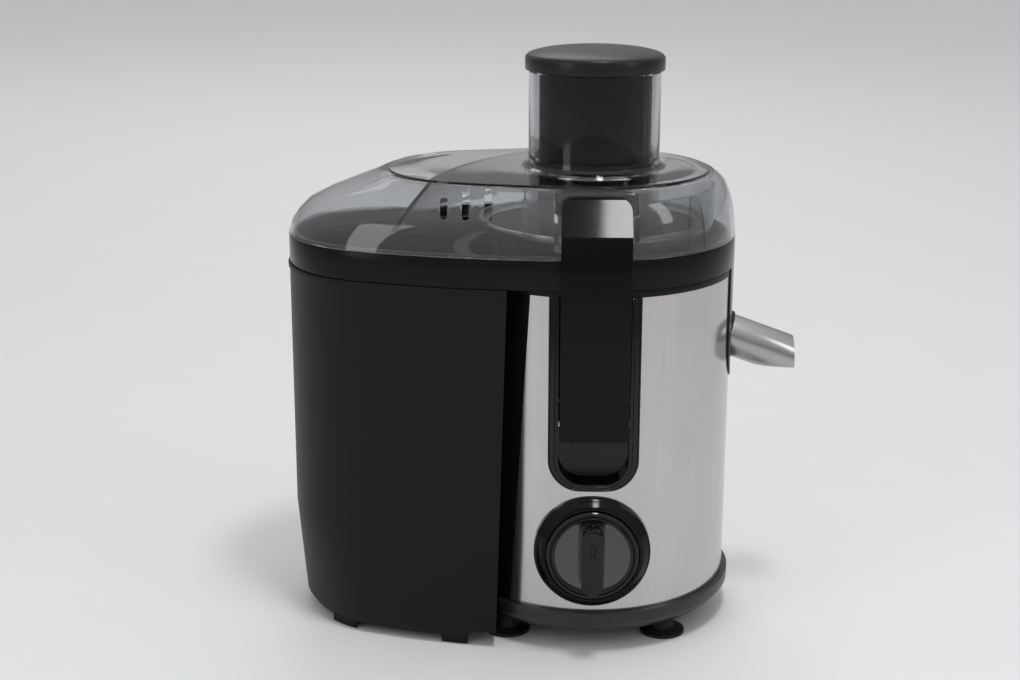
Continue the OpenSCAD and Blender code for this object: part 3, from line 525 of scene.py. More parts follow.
def mend(piece: bpy.types.Object, reach: float = 0.000005) -> None:
    """Joins doubled corners and turns all faces outwards.

    Args:
        piece: The piece.
        reach: Corners nearer than this are joined.
    """
    with editing(piece.data) as shape:
        bmesh.ops.remove_doubles(shape, verts=shape.verts, dist=reach)
        bmesh.ops.recalc_face_normals(shape, faces=shape.faces)


def shade(piece: bpy.types.Object, angle: float = 32.0) -> None:
    """Shades a piece smoothly, apart from its sharp edges.

    Args:
        piece: The piece.
        angle: From how many degrees an edge is sharp.
    """
    with editing(piece.data) as shape:
        for face in shape.faces:
            face.smooth = True
        for edge in shape.edges:
            edge.smooth = not edge.is_manifold or edge.calc_face_angle(0) < math.radians(angle)


def loft(rings: Sequence[Sequence[Sequence[float]]], closed: bool = False) -> tuple[list, list]:
    """Joins rings of equally many points with four-sided faces.

    Args:
        rings: The rings, in order.
        closed: True if the last ring joins the first, otherwise both ends are capped.

    Returns:
        The points and the faces.
    """
    count = len(rings[0])
    points = [tuple(p) for ring in rings for p in ring]
    faces = []
    spans = len(rings) if closed else len(rings) - 1
    for i in range(spans):
        a, b = i * count, (i + 1) % len(rings) * count
        faces += [(a + j, a + (j + 1) % count, b + (j + 1) % count, b + j) for j in range(count)]
    if not closed:
        faces.append(tuple(reversed(range(count))))
        faces.append(tuple(len(points) - count + j for j in range(count)))
    return points, faces


def lathe(profile: Sequence[tuple[float, float]], segments: int = 128) -> tuple[list, list]:
    """Turns a closed half section of (radius, height) points round the motor axis.

    Args:
        profile: The half section, its points in order.
        segments: Number of steps round the axis.

    Returns:
        The points and the faces.
    """
    turns = [2 * math.pi * i / segments for i in range(segments)]
    rings = [[(r * math.cos(a), r * math.sin(a), z) for a in turns] for r, z in profile]
    return loft(rings, closed=profile[0][0] > AXIS_R)


def turn_front(profile: Sequence[tuple[float, float]], height: float) -> tuple[list, list]:
    """Turns a closed half section of (radius, distance out) points round an axis along -Y.

    Args:
        profile: The half section, its points in order.
        height: Height of the axis.

    Returns:
        The points and the faces.
    """
    points, faces = lathe(profile, DIAL_STEPS)
    return [(x, -z, height + y) for x, y, z in points], faces


def prism(section: Sequence[tuple[float, float]], low: float, high: float) -> tuple[list, list]:
    """Extrudes a section of (y, z) points along X.

    Args:
        section: The closed section.
        low: Where the prism starts.
        high: Where it ends.

    Returns:
        The points and the faces.
    """
    return loft([[(x, y, z) for y, z in section] for x in (low, high)])


def cut(piece: bpy.types.Object, tool: bpy.types.Object, operation: str = "DIFFERENCE") -> None:
    """Applies a boolean operation to a piece and removes the tool.

    Args:
        piece: The piece that is changed.
        tool: The piece that changes it.
        operation: DIFFERENCE, UNION or INTERSECT.
    """
    modifier = piece.modifiers.new("cut", "BOOLEAN")
    modifier.object = tool
    modifier.operation = operation
    modifier.solver = "MANIFOLD"
    bpy.context.view_layer.update()
    graph = bpy.context.evaluated_depsgraph_get()
    mesh = bpy.data.meshes.new_from_object(piece.evaluated_get(graph))
    piece.modifiers.clear()
    piece.data = mesh
    bpy.data.objects.remove(tool)


def replace_node(piece: bpy.types.Object, *nodes: str) -> bpy.types.Object:
    """Lets a piece stand for CAD nodes of one body: it rides on the first node's body, and the nodes are
    hidden.

    Args:
        piece: The finished piece.
        *nodes: The nodes that it stands for.

    Returns:
        The piece.
    """
    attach(piece, Machine.body_of[nodes[0]])
    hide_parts(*nodes)
    log.info("%s stands for %s", piece.name, ", ".join(nodes))
    return piece


def dress(node: str, finish: Finish) -> None:
    """Gives a CAD node its finish.

    Args:
        node: The node's name.
        finish: Its finish.
    """
    data = Machine.nodes[node].data
    data.materials.clear()
    data.materials.append(finish.material())
    log.info("%s is finished as %s", node, finish.name)


def soften(node: str, finish: Finish, width: float, segments: int = 2,
           angle: float = 38.0) -> bpy.types.Object:
    """Makes a copy of a CAD node with rounded edges that stands for the node.

    Args:
        node: The node's name.
        finish: The finish of the copy.
        width: How far the rounding reaches from each edge.
        segments: Number of faces across the rounding.
        angle: Edges sharper than this, in degrees, are rounded.

    Returns:
        The new piece.
    """
    mesh = Machine.nodes[node].data.copy()
    mesh.name = node + "_rounded"
    mesh.materials.clear()
    piece = link(mesh.name, mesh)
    with editing(mesh) as shape:
        bmesh.ops.remove_doubles(shape, verts=shape.verts, dist=CAD_WELD)
        bmesh.ops.dissolve_limit(shape, angle_limit=CAD_FLAT, verts=shape.verts, edges=shape.edges)
        limit = math.radians(angle)
        sharp = [e for e in shape.edges if e.is_manifold and e.calc_face_angle(0) > limit]
        bmesh.ops.bevel(shape, geom=sharp, offset=width, segments=segments, profile=0.5,
                        affect="EDGES", clamp_overlap=True, harden_normals=False)
        bmesh.ops.recalc_face_normals(shape, faces=shape.faces)
    mesh.materials.append(finish.material())
    shade(piece)
    return replace_node(piece, node)


# ---- sub-assemblies ----


@dataclass
class ClearLid:
    """The clear lid: a domed shell with a feed chute and a channel for each latch.

    Attributes:
        outline: The plan of its rim.
        height: Height of the plateau above the rim.
        wall: Thickness of the shell.
        rim_gap: Gap between the rim and the collector.
        chute_r: Inner radius of the chute.
        chute_wall: Thickness of the chute.
        chute_low: How far the chute hangs below the plateau.
        steps: Share of the height, side pulled in, tip radius lost and tip pulled in, in mm.
        crease: The same for the plateau's edge, without the height.
        channel_half: Half width of a latch channel.
        ledge_low: Distance from the axis and height above the rim of a channel's lower edge.
        ledge_high: The same for its upper edge.
        lip: How far the lip's outer and inner faces lie inside the outline.
        lip_top: How far the lip reaches up above the collector's rim.
        skirt: How far the lip and the hood reach below that rim.
        hood_r: Inner radius of the curved wall round the basket.
        hood_wall: Thickness of that wall.
        hood_half: Half the angle that it spans, centred on the spout's side.
        hood_top: How far below the plateau that wall and the rib end.
        scroll_at: Centre of the arc of the wall that turns the pulp down, at its lower edge.
        scroll_r: Inner radius of that wall.
        scroll_arc: Where its arc starts and what it spans, in degrees.
        scroll_drop: How far it hangs below the plateau.
        scroll_lean: How far its upper edge is moved.
        rib_turn: Direction of the rib between the hood and the dome.
        rib: Its half thickness, its start beyond the hood's inner face and its end, in mm.
        slots_x: Places of the upright slots in the front wall.
        slot_half: Half width of a slot.
        slot_z: Heights of a slot's two ends.
        slot_y: Where the tool for a slot starts and ends.
        arc_steps: Number of steps along the hood and along the scroll.
        clear_top: Depth below the plateau to which the clear finish reaches; steep faces below it get
            painted shade.
        level: Upward share of a normal from which a face counts as level.
        sharp: From how many degrees an edge is sharp.
    """

    outline: Outline = field(default_factory=Outline)
    height: float = 34.7 * MM
    wall: float = 2.2 * MM
    rim_gap: float = 0.3 * MM
    chute_r: float = 32.5 * MM
    chute_wall: float = 2.5 * MM
    chute_low: float = 61.7 * MM
    steps: tuple[tuple[float, float, float, float], ...] = (
        (0.0, 0.0, 0.0, 0.0), (0.1, 0.25, 0.6, 0.4), (0.2, 0.6, 1.2, 1.2), (0.35, 1.2, 2.2, 4.0),
        (0.5, 2.2, 3.3, 8.6), (0.65, 3.7, 6.1, 16.8), (0.8, 6.0, 8.9, 27.4), (0.87, 8.0, 9.3, 33.2),
        (0.93, 10.5, 9.3, 38.6), (0.965, 12.5, 9.3, 41.5))
    crease: tuple[float, float, float] = (15.0, 9.3, 44.7)
    channel_half: float = 18.95 * MM
    ledge_low: tuple[float, float] = (76 * MM, 5.5 * MM)
    ledge_high: tuple[float, float] = (63 * MM, 21.5 * MM)
    lip: tuple[float, float] = (2.9 * MM, 4.7 * MM)
    lip_top: float = 1.5 * MM
    skirt: float = 6.5 * MM
    hood_r: float = 63.2 * MM
    hood_wall: float = 1.5 * MM
    hood_half: float = math.radians(125.5)
    hood_top: float = 8.2 * MM
    scroll_at: tuple[float, float] = (102 * MM, -83 * MM)
    scroll_r: float = 205 * MM
    scroll_arc: tuple[float, float] = (124.0, 62.0)
    scroll_drop: float = 24.5 * MM
    scroll_lean: tuple[float, float] = (15 * MM, -10 * MM)
    rib_turn: float = math.radians(-42)
    rib: tuple[float, float, float] = (0.8, 0.3, 90.0)
    slots_x: tuple[float, ...] = (-77.1 * MM, -66 * MM, -54.5 * MM)
    slot_half: float = 1.9 * MM
    slot_z: tuple[float, float] = (230.6 * MM, 245.5 * MM)
    slot_y: tuple[float, float] = (-90 * MM, -55 * MM)
    arc_steps: tuple[int, int] = (96, 72)
    clear_top: float = 1.3 * MM
    level: float = 0.95
    sharp: float = 24.0

    def build(self) -> None:
        """Builds the lid as one moulding."""
        shell = add_piece("clear_lid", *loft(self._shell_rings(), closed=True), Finishes.CLEAR)
        sides = (-1, 1)
        for wall in (*(self._channel(side, self.wall) for side in sides), self._scroll(), self._rib()):
            block = add_piece("block", *loft(self._dome_rings()), Finishes.CLEAR)
            cut(block, wall, "INTERSECT")
            cut(shell, block, "UNION")
        for wall in (self._lip(), self._hood()):
            cut(shell, wall, "UNION")
        for tool in (*(self._channel(side, 0.0) for side in sides), *map(self._slot, self.slots_x)):
            cut(shell, tool)
        mend(shell)
        shade(shell, self.sharp)
        self._paint_shade(shell)
        replace_node(shell, "lid")

    def _paint_shade(self, shell: bpy.types.Object) -> None:
        """Paints shade on the chute and on the dome's sides and inner walls, as darker tints of the clear
        moulding.

        Args:
            shell: The finished lid.
        """
        for finish in (Finishes.PAINTED_SHADE_SIDES, Finishes.PAINTED_SHADE_CHUTE):
            shell.data.materials.append(finish.material())
        ceiling = self._z(1.0) - self.clear_top
        chute = self.chute_r + self.chute_wall + 0.1 * MM
        # Chute faces, and steep faces below the plateau, take the painted shade
        for face in shell.data.polygons:
            across = math.hypot(face.center.x - Machine.axis_x, face.center.y - Machine.axis_y)
            if across < chute:
                face.material_index = 2
            elif face.center.z < ceiling and abs(face.normal.z) < self.level:
                face.material_index = 1

    def _z(self, share: float) -> float:
        """Height of a step of the dome."""
        return Machine.rim_z + self.rim_gap + share * self.height

    def _step(self, index: int, depth: float) -> list[Point]:
        """One ring of the dome's side.

        Args:
            index: The step's number.
            depth: How far the ring lies below the outer face, square to it.

        Returns:
            The ring.
        """
        share, body, tip, pull = self.steps[index]
        near = self.steps[max(index - 1, 0)]
        after = self.steps[min(index + 1, len(self.steps) - 1)]
        rise = (after[0] - near[0]) * self.height
        run = (after[1] - near[1]) * MM
        slant = math.hypot(rise, run)
        flat = self.outline.points(depth * rise / slant, body * MM, tip * MM, pull * MM)
        z = self._z(share) - depth * run / slant * (index > 0)
        return [(p.x, p.y, z) for p in flat]

    def _edge(self, inset: float, drop: float) -> list[Point]:
        """A ring by the plateau's edge, moved in and down a little."""
        body, tip, pull = (v * MM for v in self.crease)
        return [(p.x, p.y, self._z(1.0) - drop) for p in self.outline.points(inset, body, tip, pull)]

    def _ring(self, radius: float, z: float) -> list[Point]:
        """One round ring of the chute."""
        return [(p.x, p.y, z) for p in self.outline.circle(radius)]

    def _between(self, outer: list[Point], inner: list[Point], share: float,
                 rise: float) -> list[Point]:
        """A ring part of the way from one ring to another, raised a little."""
        lift = Vector((0, 0, rise))
        return [tuple(Vector(a).lerp(Vector(b), share) + lift) for a, b in zip(outer, inner)]

    def _shell_rings(self) -> list[list[Point]]:
        """Makes the shell's rings.

        Returns:
            Rings over the dome, up the chute, down its bore and back under the dome.
        """
        bore, top, roof = self.chute_r, Machine.chute_z, self._z(1.0)
        out, low = bore + self.chute_wall, roof - self.chute_low
        collar = self._ring(out + 3.4 * MM, roof + 0.9 * MM)
        edge = self._edge(0.5 * MM, 0.0)
        over = [self._step(i, 0.0) for i in range(len(self.steps))]
        over += [self._edge(-1.2 * MM, 1.2 * MM), self._edge(0.0, 1.2 * MM),
                 self._edge(0.12 * MM, 0.3 * MM), edge]
        over += [self._between(edge, collar, t, 0.5 * MM * t) for t in (0.15, 0.4, 0.7)] + [collar]
        chute = ((out + 1.6 * MM, roof + 1.7 * MM), (out + 0.5 * MM, roof + 3.2 * MM),
                 (out, roof + 5.6 * MM), (out, top - 0.6 * MM), (out - 0.6 * MM, top),
                 (bore + 0.5 * MM, top), (bore, top - 0.5 * MM), (bore, roof), (bore, low + 0.5 * MM),
                 (bore + 0.5 * MM, low), (out - 0.5 * MM, low), (out, low + 0.5 * MM))
        over += [self._ring(r, z) for r, z in chute]
        joint = self._ring(out, roof - self.wall)
        corner = self._edge(1.2 * MM, self.wall)
        over += [joint] + [self._between(corner, joint, t, 0.0) for t in (0.6, 0.25)] + [corner]
        return over + [self._step(i, self.wall) for i in reversed(range(len(self.steps)))]

    def _dome_rings(self) -> list[list[Point]]:
        """Rings of the dome as a solid body, a hair inside its outer face."""
        hair = 0.02 * MM
        return [self._step(i, hair) for i in range(len(self.steps))] + [self._edge(hair, 1.4 * MM)]

    def _channel(self, side: int, extra: float) -> bpy.types.Object:
        """The space of one latch channel.

        Args:
            side: -1 for the front, 1 for the back.
            extra: By how much the space is enlarged to leave a wall.

        Returns:
            A cutting tool.
        """
        base = Machine.rim_z
        run = Vector(self.ledge_high) - Vector(self.ledge_low)
        normal = Vector((run.y, -run.x)).normalized() * extra
        low = Vector(self.ledge_low) - normal
        high = Vector(self.ledge_high) - normal
        out, above, below = 120 * MM, 90 * MM, -20 * MM
        section = [(low.x, below), tuple(low), tuple(high), (high.x, above), (out, above), (out, below)]
        half = self.channel_half + extra
        points, faces = prism([(side * y, base + z) for y, z in section], -half, half)
        return add_piece("channel", points, faces, Finishes.CLEAR)

    def _lip(self) -> bpy.types.Object:
        """Makes the skirt that reaches down inside the collector's band.

        Returns:
            The skirt as a solid piece.
        """
        low, high = Machine.rim_z - self.skirt, Machine.rim_z + self.lip_top
        outer, inner = (self.outline.points(inset) for inset in self.lip)
        section = ((outer, low), (outer, high), (inner, high), (inner, low))
        rings = [[(p.x, p.y, z) for p in ring] for ring, z in section]
        return add_piece("lip", *loft(rings, closed=True), Finishes.CLEAR)

    def _hood(self) -> bpy.types.Object:
        """Makes the curved wall inside the lid that guides the pulp round to the bin.

        Returns:
            The wall as a solid piece.
        """
        low, high = Machine.rim_z - self.skirt, self._z(1.0) - self.hood_top
        steps = self.arc_steps[0]
        turns = [self.hood_half * (2 * i / steps - 1) for i in range(steps + 1)]
        section = [(self.hood_r, low), (self.hood_r + self.hood_wall, low),
                   (self.hood_r + self.hood_wall, high), (self.hood_r, high)]
        rings = [[(r * math.cos(a), r * math.sin(a), z) for r, z in section] for a in turns]
        return add_piece("hood", *loft(rings), Finishes.CLEAR)

    def _scroll(self) -> bpy.types.Object:
        """Makes the leaning curved wall that turns the flying pulp down.

        Returns:
            The wall as a solid piece, longer than the dome is wide.
        """
        base, top = self._z(1.0) - self.scroll_drop, self._z(1.0) + 2 * MM
        section = [(0.0, base), (self.wall, base), (self.wall, top), (0.0, top)]
        start, span = self.scroll_arc
        steps = self.arc_steps[1]
        (x, y), (lean_x, lean_y) = self.scroll_at, self.scroll_lean
        rings = []
        for i in range(steps + 1):
            turn = math.radians(start + span * i / steps)
            ring = []
            for depth, z in section:
                share, radius = (z - base) / self.scroll_drop, self.scroll_r + depth
                ring.append((x + radius * math.cos(turn) + lean_x * share,
                             y + radius * math.sin(turn) + lean_y * share, z))
            rings.append(ring)
        return add_piece("scroll", *loft(rings), Finishes.CLEAR)

    def _rib(self) -> bpy.types.Object:
        """Makes a plain upright rib between the hood and the dome.

        Returns:
            The rib as a solid piece, longer than it will be.
        """
        low, high = Machine.rim_z + 1 * MM, self._z(1.0) - self.hood_top
        half, start, end = self.rib
        along = Vector((math.cos(self.rib_turn), math.sin(self.rib_turn), 0))
        side = Vector((-along.y, along.x, 0)) * half * MM
        near, beyond = along * (self.hood_r + start * MM), along * end * MM
        plan = (near - side, beyond - side, beyond + side, near + side)
        rings = [[(p.x, p.y, z) for p in plan] for z in (low, high)]
        return add_piece("rib", *loft(rings), Finishes.CLEAR)

    def _slot(self, x: float) -> bpy.types.Object:
        """Makes a tool for one upright slot with round ends through the front wall.

        Args:
            x: Place of the slot's middle.

        Returns:
            A cutting tool.
        """
        half, (low, high) = self.slot_half, self.slot_z
        ends = [(math.cos(math.radians(a)), math.sin(math.radians(a))) for a in range(0, 181, 15)]
        plan = [(x + half * c, high - half + half * s) for c, s in ends]
        plan += [(x - half * c, low + half - half * s) for c, s in ends]
        rings = [[(u, y, v) for u, v in plan] for y in self.slot_y]
        return add_piece("slot", *loft(rings), Finishes.CLEAR)


@dataclass
class Pusher:
    """The pusher that fills the chute, with its domed cap.

    Attributes:
        cap_r: Radius of the cap.
        side: Height of the cap's side.
        dome: Height of the dome on it.
        dome_steps: Number of steps from the dome's edge to its top.
    """

    cap_r: float = 37 * MM
    side: float = 7 * MM
    dome: float = 5.3 * MM
    dome_steps: int = 24

    def build(self) -> None:
        """Builds the cap and rounds the body."""
        soften("pusher_body", Finishes.GLOSS, 0.3 * MM)
        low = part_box("pusher_cap")[0].z
        shoulder = low + self.side
        profile = [(AXIS_R, low), (self.cap_r - 0.5 * MM, low), (self.cap_r - 0.1 * MM, low + 0.2 * MM),
                   (self.cap_r, low + 0.5 * MM), (self.cap_r, shoulder - 0.5 * MM),
                   (self.cap_r - 0.2 * MM, shoulder - 0.1 * MM)]
        for i in range(self.dome_steps + 1):
            turn = math.pi / 2 * i / self.dome_steps
            profile.append(((self.cap_r - 0.6 * MM) * math.cos(turn) + AXIS_R,
                            shoulder + (self.dome - 0.05 * MM) * math.sin(turn)))
        replace_node(add_piece("domed_cap", *lathe(profile), Finishes.CAP), "pusher_cap")


@dataclass
class Dial:
    """The control knob with its dished face and finger bar, inside a sloping bezel.

    Attributes:
        rim: Half section of the knob outside its dish, as radius and distance out in mm.
        dish_depth: How deep the dish is at its middle, in mm.
        bar: Width, length and distance out of each section of the finger bar, in mm.
        dimple: Half width, half length and height above the middle of the bar's dimple, in mm.
        dimple_cuts: Share of that size and distance out in mm of each section of its tool.
        bezel: Half section of the bezel, as radius and distance out in mm.
        steel_r: Radius of the steel that the bezel sits on, in mm.
        dish_steps: Number of steps from the dish's middle to its edge.
        sharp: From how many degrees an edge is sharp.
    """

    rim: tuple[tuple[float, float], ...] = (
        (23.5, 78.1), (24.0, 78.6), (24.0, 82.1), (23.6, 82.6), (22.3, 82.6), (21.9, 82.0), (21.5, 82.0),
        (21.1, 82.8), (20.4, 83.1), (19.6, 82.8))
    dish_depth: float = 1.9
    bar: tuple[tuple[float, float, float], ...] = (
        (12.0, 38.0, 80.3), (11.7, 37.8, 88.5), (11.4, 37.4, 90.8), (10.6, 36.6, 91.9), (9.0, 35.2, 92.4),
        (6.5, 33.0, 92.6))
    dimple: tuple[float, float, float] = (1.5, 4.0, 7.0)
    dimple_cuts: tuple[tuple[float, float], ...] = ((1.25, 93.4), (1.0, 92.5), (0.85, 91.9), (0.45, 91.6))
    bezel: tuple[tuple[float, float], ...] = (
        (8.5, 60.0), (8.5, 77.6), (24.5, 77.6), (24.5, 81.1), (24.8, 81.4), (25.7, 81.4), (26.0, 80.9),
        (26.5, 80.8), (27.6, 79.6), (28.8, 78.0), (29.7, 76.8), (30.2, 76.5), (30.5, 76.2), (30.5, 60.0))
    steel_r: float = 75.55
    dish_steps: int = 16
    sharp: float = 28.0

    def build(self) -> None:
        """Builds the knob and its bezel."""
        low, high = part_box("switch_shaft")
        height = (low.z + high.z) / 2
        knob = add_piece("dished_knob", *turn_front(self._section(), height), Finishes.KNOB)
        cut(knob, self._bar(height), "UNION")
        cut(knob, self._dimple(height))
        shade(knob, self.sharp)
        knob.data.materials.append(Finishes.DISH.material())
        dish_out = self.rim[-1][1] * MM + 0.05 * MM
        for face in knob.data.polygons:
            out = Machine.axis_y - face.center.y
            if out < dish_out and face.normal.y < -0.9:
                across = math.hypot(face.center.x - Machine.axis_x, face.center.z - height)
                face.material_index = int(across < self.rim[-1][0] * MM)
        replace_node(knob, "knob")
        section = [(r * MM, y * MM) for r, y in self.bezel]
        bezel = add_piece("sloping_bezel", *turn_front(section, height), Finishes.BEZEL)
        steel_r, below, above = self.steel_r * MM, 10 * MM, 120 * MM
        drum = [(AXIS_R, below), (steel_r, below), (steel_r, above), (AXIS_R, above)]
        cut(bezel, add_piece("drum", *lathe(drum, DRUM_STEPS), Finishes.KNOB))
        shade(bezel, self.sharp)
        replace_node(bezel, "knob_bezel")

    def _section(self) -> list[tuple[float, float]]:
        """Makes the knob's half section.

        Returns:
            Its points, from the middle of the knob's back to the middle of its dish.
        """
        edge_r, edge_out = self.rim[-1]
        steps = self.dish_steps
        dish = [(edge_r * i / steps, edge_out - self.dish_depth * (1 - (i / steps) ** 2))
                for i in range(steps - 1, 0, -1)]
        back, middle = self.rim[0][1], edge_out - self.dish_depth
        side = [(r * MM, y * MM) for r, y in (*self.rim, *dish)]
        return [(AXIS_R, back * MM), *side, (AXIS_R, middle * MM)]

    def _bar(self, height: float) -> bpy.types.Object:
        """The finger bar with its rounded top.

        Args:
            height: Height of the knob's axis.

        Returns:
            The bar as a solid piece.
        """
        turns = [math.radians(7.5 * i) for i in range(48)]
        rings = []
        for width, length, out in self.bar:
            r, reach = width / 2 * MM, (length - width) / 2 * MM
            rings.append([(r * math.cos(a), -out * MM,
                           height + r * math.sin(a) + math.copysign(reach, math.sin(a))) for a in turns])
        return add_piece("bar", *loft(rings), Finishes.KNOB)

    def _dimple(self, height: float) -> bpy.types.Object:
        """A tool that presses the oval dimple into the bar.

        Args:
            height: Height of the knob's axis.

        Returns:
            A cutting tool.
        """
        half_w, half_l, up = (v * MM for v in self.dimple)
        turns = [math.radians(15 * i) for i in range(24)]
        rings = [[(k * half_w * math.cos(a), -out * MM, height + up + k * half_l * math.sin(a))
                  for a in turns] for k, out in self.dimple_cuts]
        return add_piece("dimple", *loft(rings), Finishes.KNOB)


@dataclass
class Latches:
    """The two latch arms, with a slightly crowned front face.

    Attributes:
        half: Half width of an arm.
        crown: How far the face falls back at its sides.
        inner: Distance from the motor axis at which the crown begins.
        outer: Distance at which it is full.
        knee_z: Height of the bend, where the crown ends.
        low_z: Height of the arm's lower end, where it is full.
        strips: Number of strips in half the width.
        slant: Upward share of the normal of the flat faces above the bend.
    """

    half: float = 17.75 * MM
    crown: float = 1.2 * MM
    inner: float = 77.5 * MM
    outer: float = 81.5 * MM
    knee_z: float = 222 * MM
    low_z: float = 119 * MM
    strips: int = 8
    slant: float = 0.6

    def build(self) -> None:
        """Rounds and crowns both arms."""
        for node, side in (("latch_front", -1), ("latch_back", 1)):
            self._crown(soften(node, Finishes.GLOSS, 0.8 * MM, 3), side)

    def _crown(self, piece: bpy.types.Object, side: int) -> None:
        """Bends the front face of an arm.

        Args:
            piece: The arm.
            side: -1 for the front, 1 for the back.
        """
        with editing(piece.data) as shape:
            for i in range(1 - self.strips, self.strips):
                everything = shape.verts[:] + shape.edges[:] + shape.faces[:]
                place = (Machine.axis_x + self.half * i / self.strips, 0, 0)
                bmesh.ops.bisect_plane(shape, geom=everything, plane_co=place, plane_no=(1, 0, 0))
            for vert in shape.verts:
                out = side * (vert.co.y - Machine.axis_y)
                share = min(max((out - self.inner) / (self.outer - self.inner), 0.0), 1.0)
                share *= min(max((self.knee_z - vert.co.z) / (self.knee_z - self.low_z), 0.0), 1.0)
                across = (vert.co.x - Machine.axis_x) / self.half
                vert.co.y -= side * self.crown * share * across**2
        shade(piece)
        for face in piece.data.polygons:
            if face.normal.z > self.slant and face.center.z > self.knee_z:
                face.use_smooth = False


@dataclass
class RecessRims:
    """Raised lines on the frames round the latch recesses.

    Attributes:
        lines: Half width, corner radius and lower end of each line, in mm.
        top: Upper end of the lines, in mm.
        face_r: Radius of the frame's outer face, in mm.
        width: Width of a line, in mm.
        proud: How far a line stands out, in mm.
    """

    lines: tuple[tuple[float, float, float], ...] = ((23.1, 15.5, 91.2), (20.4, 14.0, 92.9))
    top: float = 192.6
    face_r: float = 76.8
    width: float = 0.7
    proud: float = 0.35

    def build(self) -> None:
        """Builds the lines at the front and the back."""
        for side, node in ((-1, "recess_front"), (1, "recess_back")):
            for number, line in enumerate(self.lines):
                piece = add_piece(f"{node}_line_{number}", *self._bead(line, side), Finishes.RECESS)
                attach(piece, Machine.body_of[node])
                log.info("%s is built", piece.name)

    def _bead(self, line: tuple[float, float, float], side: int) -> tuple[list, list]:
        """One line along the U of a recess.

        Args:
            line: Half width, corner radius and lower end, in mm.
            side: -1 for the front, 1 for the back.

        Returns:
            The points and the faces.
        """
        half, corner, low = line
        turns = [math.radians(6 * i) for i in range(16)]
        right = [(half - corner + corner * math.cos(a), low + corner - corner * math.sin(a),
                  math.cos(a), -math.sin(a)) for a in turns]
        path = [(half, self.top, 1.0, 0.0)] + right
        path += [(-x, z, -nx, nz) for x, z, nx, nz in reversed(path)]
        section = ((-0.5, -0.3), (-0.5, 0.5), (-0.2, 1.0), (0.2, 1.0), (0.5, 0.5), (0.5, -0.3))
        rings = []
        for x, z, nx, nz in path:
            ring = []
            for across, out in section:
                u = x + nx * across * self.width
                y = side * math.sqrt((self.face_r + out * self.proud) ** 2 - u**2)
                ring.append((u * MM, y * MM, (z + nz * across * self.width) * MM))
            rings.append(ring)
        return loft(rings)


class Trim:
    """Pieces whose CAD shape stays.

    Attributes:
        ROUNDED: Each node that gets rounded edges, its finish and the rounding in mm.
        PLAIN: Each finish and the other nodes that have it.
    """

    ROUNDED: tuple[tuple[str, Finish, float], ...] = (
        ("motor_housing", Finishes.HOUSING, 0.3), ("base_cover", Finishes.COVER, 0.4),
        ("recess_front", Finishes.RECESS, 0.3), ("recess_back", Finishes.RECESS, 0.3),
        ("cord_gland", Finishes.RUBBER, 0.4), ("juice_collector", Finishes.COLLECTOR, 0.4),
        ("spout", Finishes.SPOUT, 0.25), ("pulp_bin", Finishes.BIN, 0.4),
        ("basket_frame", Finishes.BASKET, 0.3), ("basket_rim", Finishes.BRIGHT, 0.2))

    PLAIN: tuple[tuple[Finish, str], ...] = (
        (Finishes.STEEL, "steel_wrap"),
        (Finishes.SCREW, "cover_screws switch_nut stator_bolts motor_screws grater_screws"),
        (Finishes.RUBBER, "foot_front_left foot_front_right foot_back_left foot_back_right"),
        (Finishes.RUBBER, "motor_mounts shaft_seal spout_seal"),
        (Finishes.GROUND, "latch_pin_front latch_pin_back switch_shaft motor_shaft"),
        (Finishes.GROUND, "upper_bearing lower_bearing"),
        (Finishes.SWITCH, "interlock_switch rotary_switch"), (Finishes.PLUNGER, "interlock_plunger"),
        (Finishes.STACK, "stator"), (Finishes.COPPER, "field_coils"), (Finishes.WINDING, "armature"),
        (Finishes.CASTING, "upper_bracket lower_bracket"), (Finishes.SEGMENTS, "commutator"),
        (Finishes.BRASS, "brush_holder_left brush_holder_right"),
        (Finishes.CARBON, "carbon_brush_left carbon_brush_right"),
        (Finishes.NYLON, "cooling_fan drive_coupling"), (Finishes.MESH, "filter_mesh"),
        (Finishes.BRIGHT, "grater_disc"))

    def build(self) -> None:
        """Dresses every piece."""
        for node, finish, width in self.ROUNDED:
            soften(node, finish, width * MM)
        for finish, nodes in self.PLAIN:
            for node in nodes.split():
                dress(node, finish)


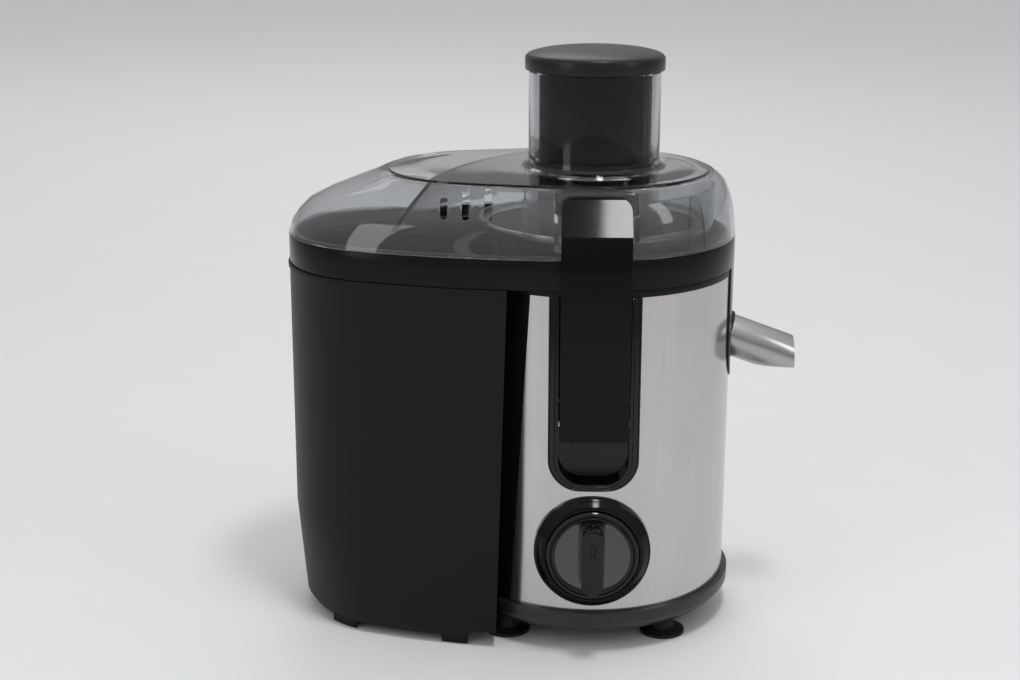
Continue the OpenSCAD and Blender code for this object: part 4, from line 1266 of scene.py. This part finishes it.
@dataclass
class Studio:
    """Floor, lamps and camera.

    Attributes:
        camera_at: The camera's place.
        yaw: Turn of the view to the right of +Y, in degrees.
        pitch: How far the view looks down, in degrees.
        roll: How far the camera's right side is raised, in degrees.
        lens: Focal length in mm on a 36 mm wide sensor.
        horizon: Strength of the room's light at the level of the floor.
        zenith: Its strength straight above.
        floor_half: Half the width of the floor.
        lamps: Name, place, target, width and height, and watts of each softbox.
    """

    camera_at: Point = (-0.00035, -0.9158, 0.4070)
    yaw: float = -1.06
    pitch: float = 15.56
    roll: float = 0.14
    lens: float = 61.3
    horizon: float = 0.28
    zenith: float = 0.9
    floor_half: float = 12.0
    lamps: tuple[tuple[str, Point, Point, tuple[float, float], float], ...] = (
        ("key_softbox", (0.148, -0.345, 1.24), (0.148, -0.345, 0.0), (0.16, 0.28), 5.0),
        ("left_softbox", (-1.2, -1.05, 0.75), (-0.02, 0.0, 0.17), (0.4, 1.1), 2.8),
        ("right_softbox", (1.35, -0.75, 0.95), (0.02, 0.0, 0.16), (0.3, 0.9), 2.4),
        ("back_softbox", (-0.2, 1.5, 1.5), (0.0, 1.6, 0.0), (1.8, 0.9), 8.0))

    def build(self) -> None:
        """Builds the studio."""
        self._view()
        self._floor()
        self._world()
        for lamp in self.lamps:
            self._lamp(*lamp)

    def _view(self) -> None:
        """Sets the camera and the plain view transform."""
        yaw, pitch, roll = (math.radians(v) for v in (self.yaw, self.pitch, self.roll))
        level = math.cos(pitch)
        forward = Vector((math.sin(yaw) * level, math.cos(yaw) * level, -math.sin(pitch)))
        right = forward.cross(Vector((0, 0, 1))).normalized()
        up = right.cross(forward)
        c, s = math.cos(roll), math.sin(roll)
        right, up = right * c + up * s, up * c - right * s
        data = bpy.data.cameras.new("camera")
        data.lens = self.lens
        data.sensor_width = SENSOR_MM
        camera = link("camera", data)
        turn = Matrix((right, up, -forward)).transposed()
        camera.matrix_world = Matrix.Translation(self.camera_at) @ turn.to_4x4()
        bpy.context.scene.camera = camera
        bpy.context.scene.view_settings.view_transform = "Standard"

    def _floor(self) -> None:
        """Lays the pale floor."""
        mesh = bpy.data.meshes.new("floor")
        half = self.floor_half
        corners = [(-half, -half, 0), (half, -half, 0), (half, half, 0), (-half, half, 0)]
        mesh.from_pydata(corners, [], [(0, 1, 2, 3)])
        floor = link("floor", mesh)
        mesh.materials.append(Finishes.FLOOR.material())

    def _world(self) -> None:
        """Fills the room with pale light that grows stronger towards the ceiling."""
        world = bpy.data.worlds.new("room")
        world.use_nodes = True
        tree = world.node_tree
        background = tree.nodes["Background"]
        background.inputs["Color"].default_value = (0.97, 0.98, 1.0, 1.0)
        place = tree.nodes.new("ShaderNodeTexCoord")
        split = tree.nodes.new("ShaderNodeSeparateXYZ")
        spread = tree.nodes.new("ShaderNodeMapRange")
        spread.inputs["To Min"].default_value = self.horizon
        spread.inputs["To Max"].default_value = self.zenith
        tree.links.new(place.outputs["Generated"], split.inputs[0])
        tree.links.new(split.outputs["Z"], spread.inputs["Value"])
        tree.links.new(spread.outputs["Result"], background.inputs["Strength"])
        bpy.context.scene.world = world

    def _lamp(self, name: str, at: Point, aim: Point, size: tuple[float, float], power: float) -> None:
        """Adds one softbox.

        Args:
            name: The lamp's name.
            at: Its place.
            aim: The point that it faces.
            size: Its width and height.
            power: Its power in watts.
        """
        data = bpy.data.lights.new(name, "AREA")
        data.shape = "RECTANGLE"
        data.size, data.size_y = size
        data.energy = power
        lamp = link(name, data)
        lamp.location = at
        lamp.rotation_euler = (Vector(aim) - Vector(at)).to_track_quat("-Z", "Y").to_euler()


def main() -> None:
    """Loads the frame and builds the looks round it."""
    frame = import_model()
    Machine.read(frame)
    for assembly in (Studio(), Trim(), Dial(), Latches(), RecessRims(), ClearLid(), Pusher()):
        assembly.build()
        log.info("%s is done", type(assembly).__name__)


if __name__ == "__main__":
    logging.basicConfig(level=logging.INFO, format="%(name)s: %(message)s")
    main()
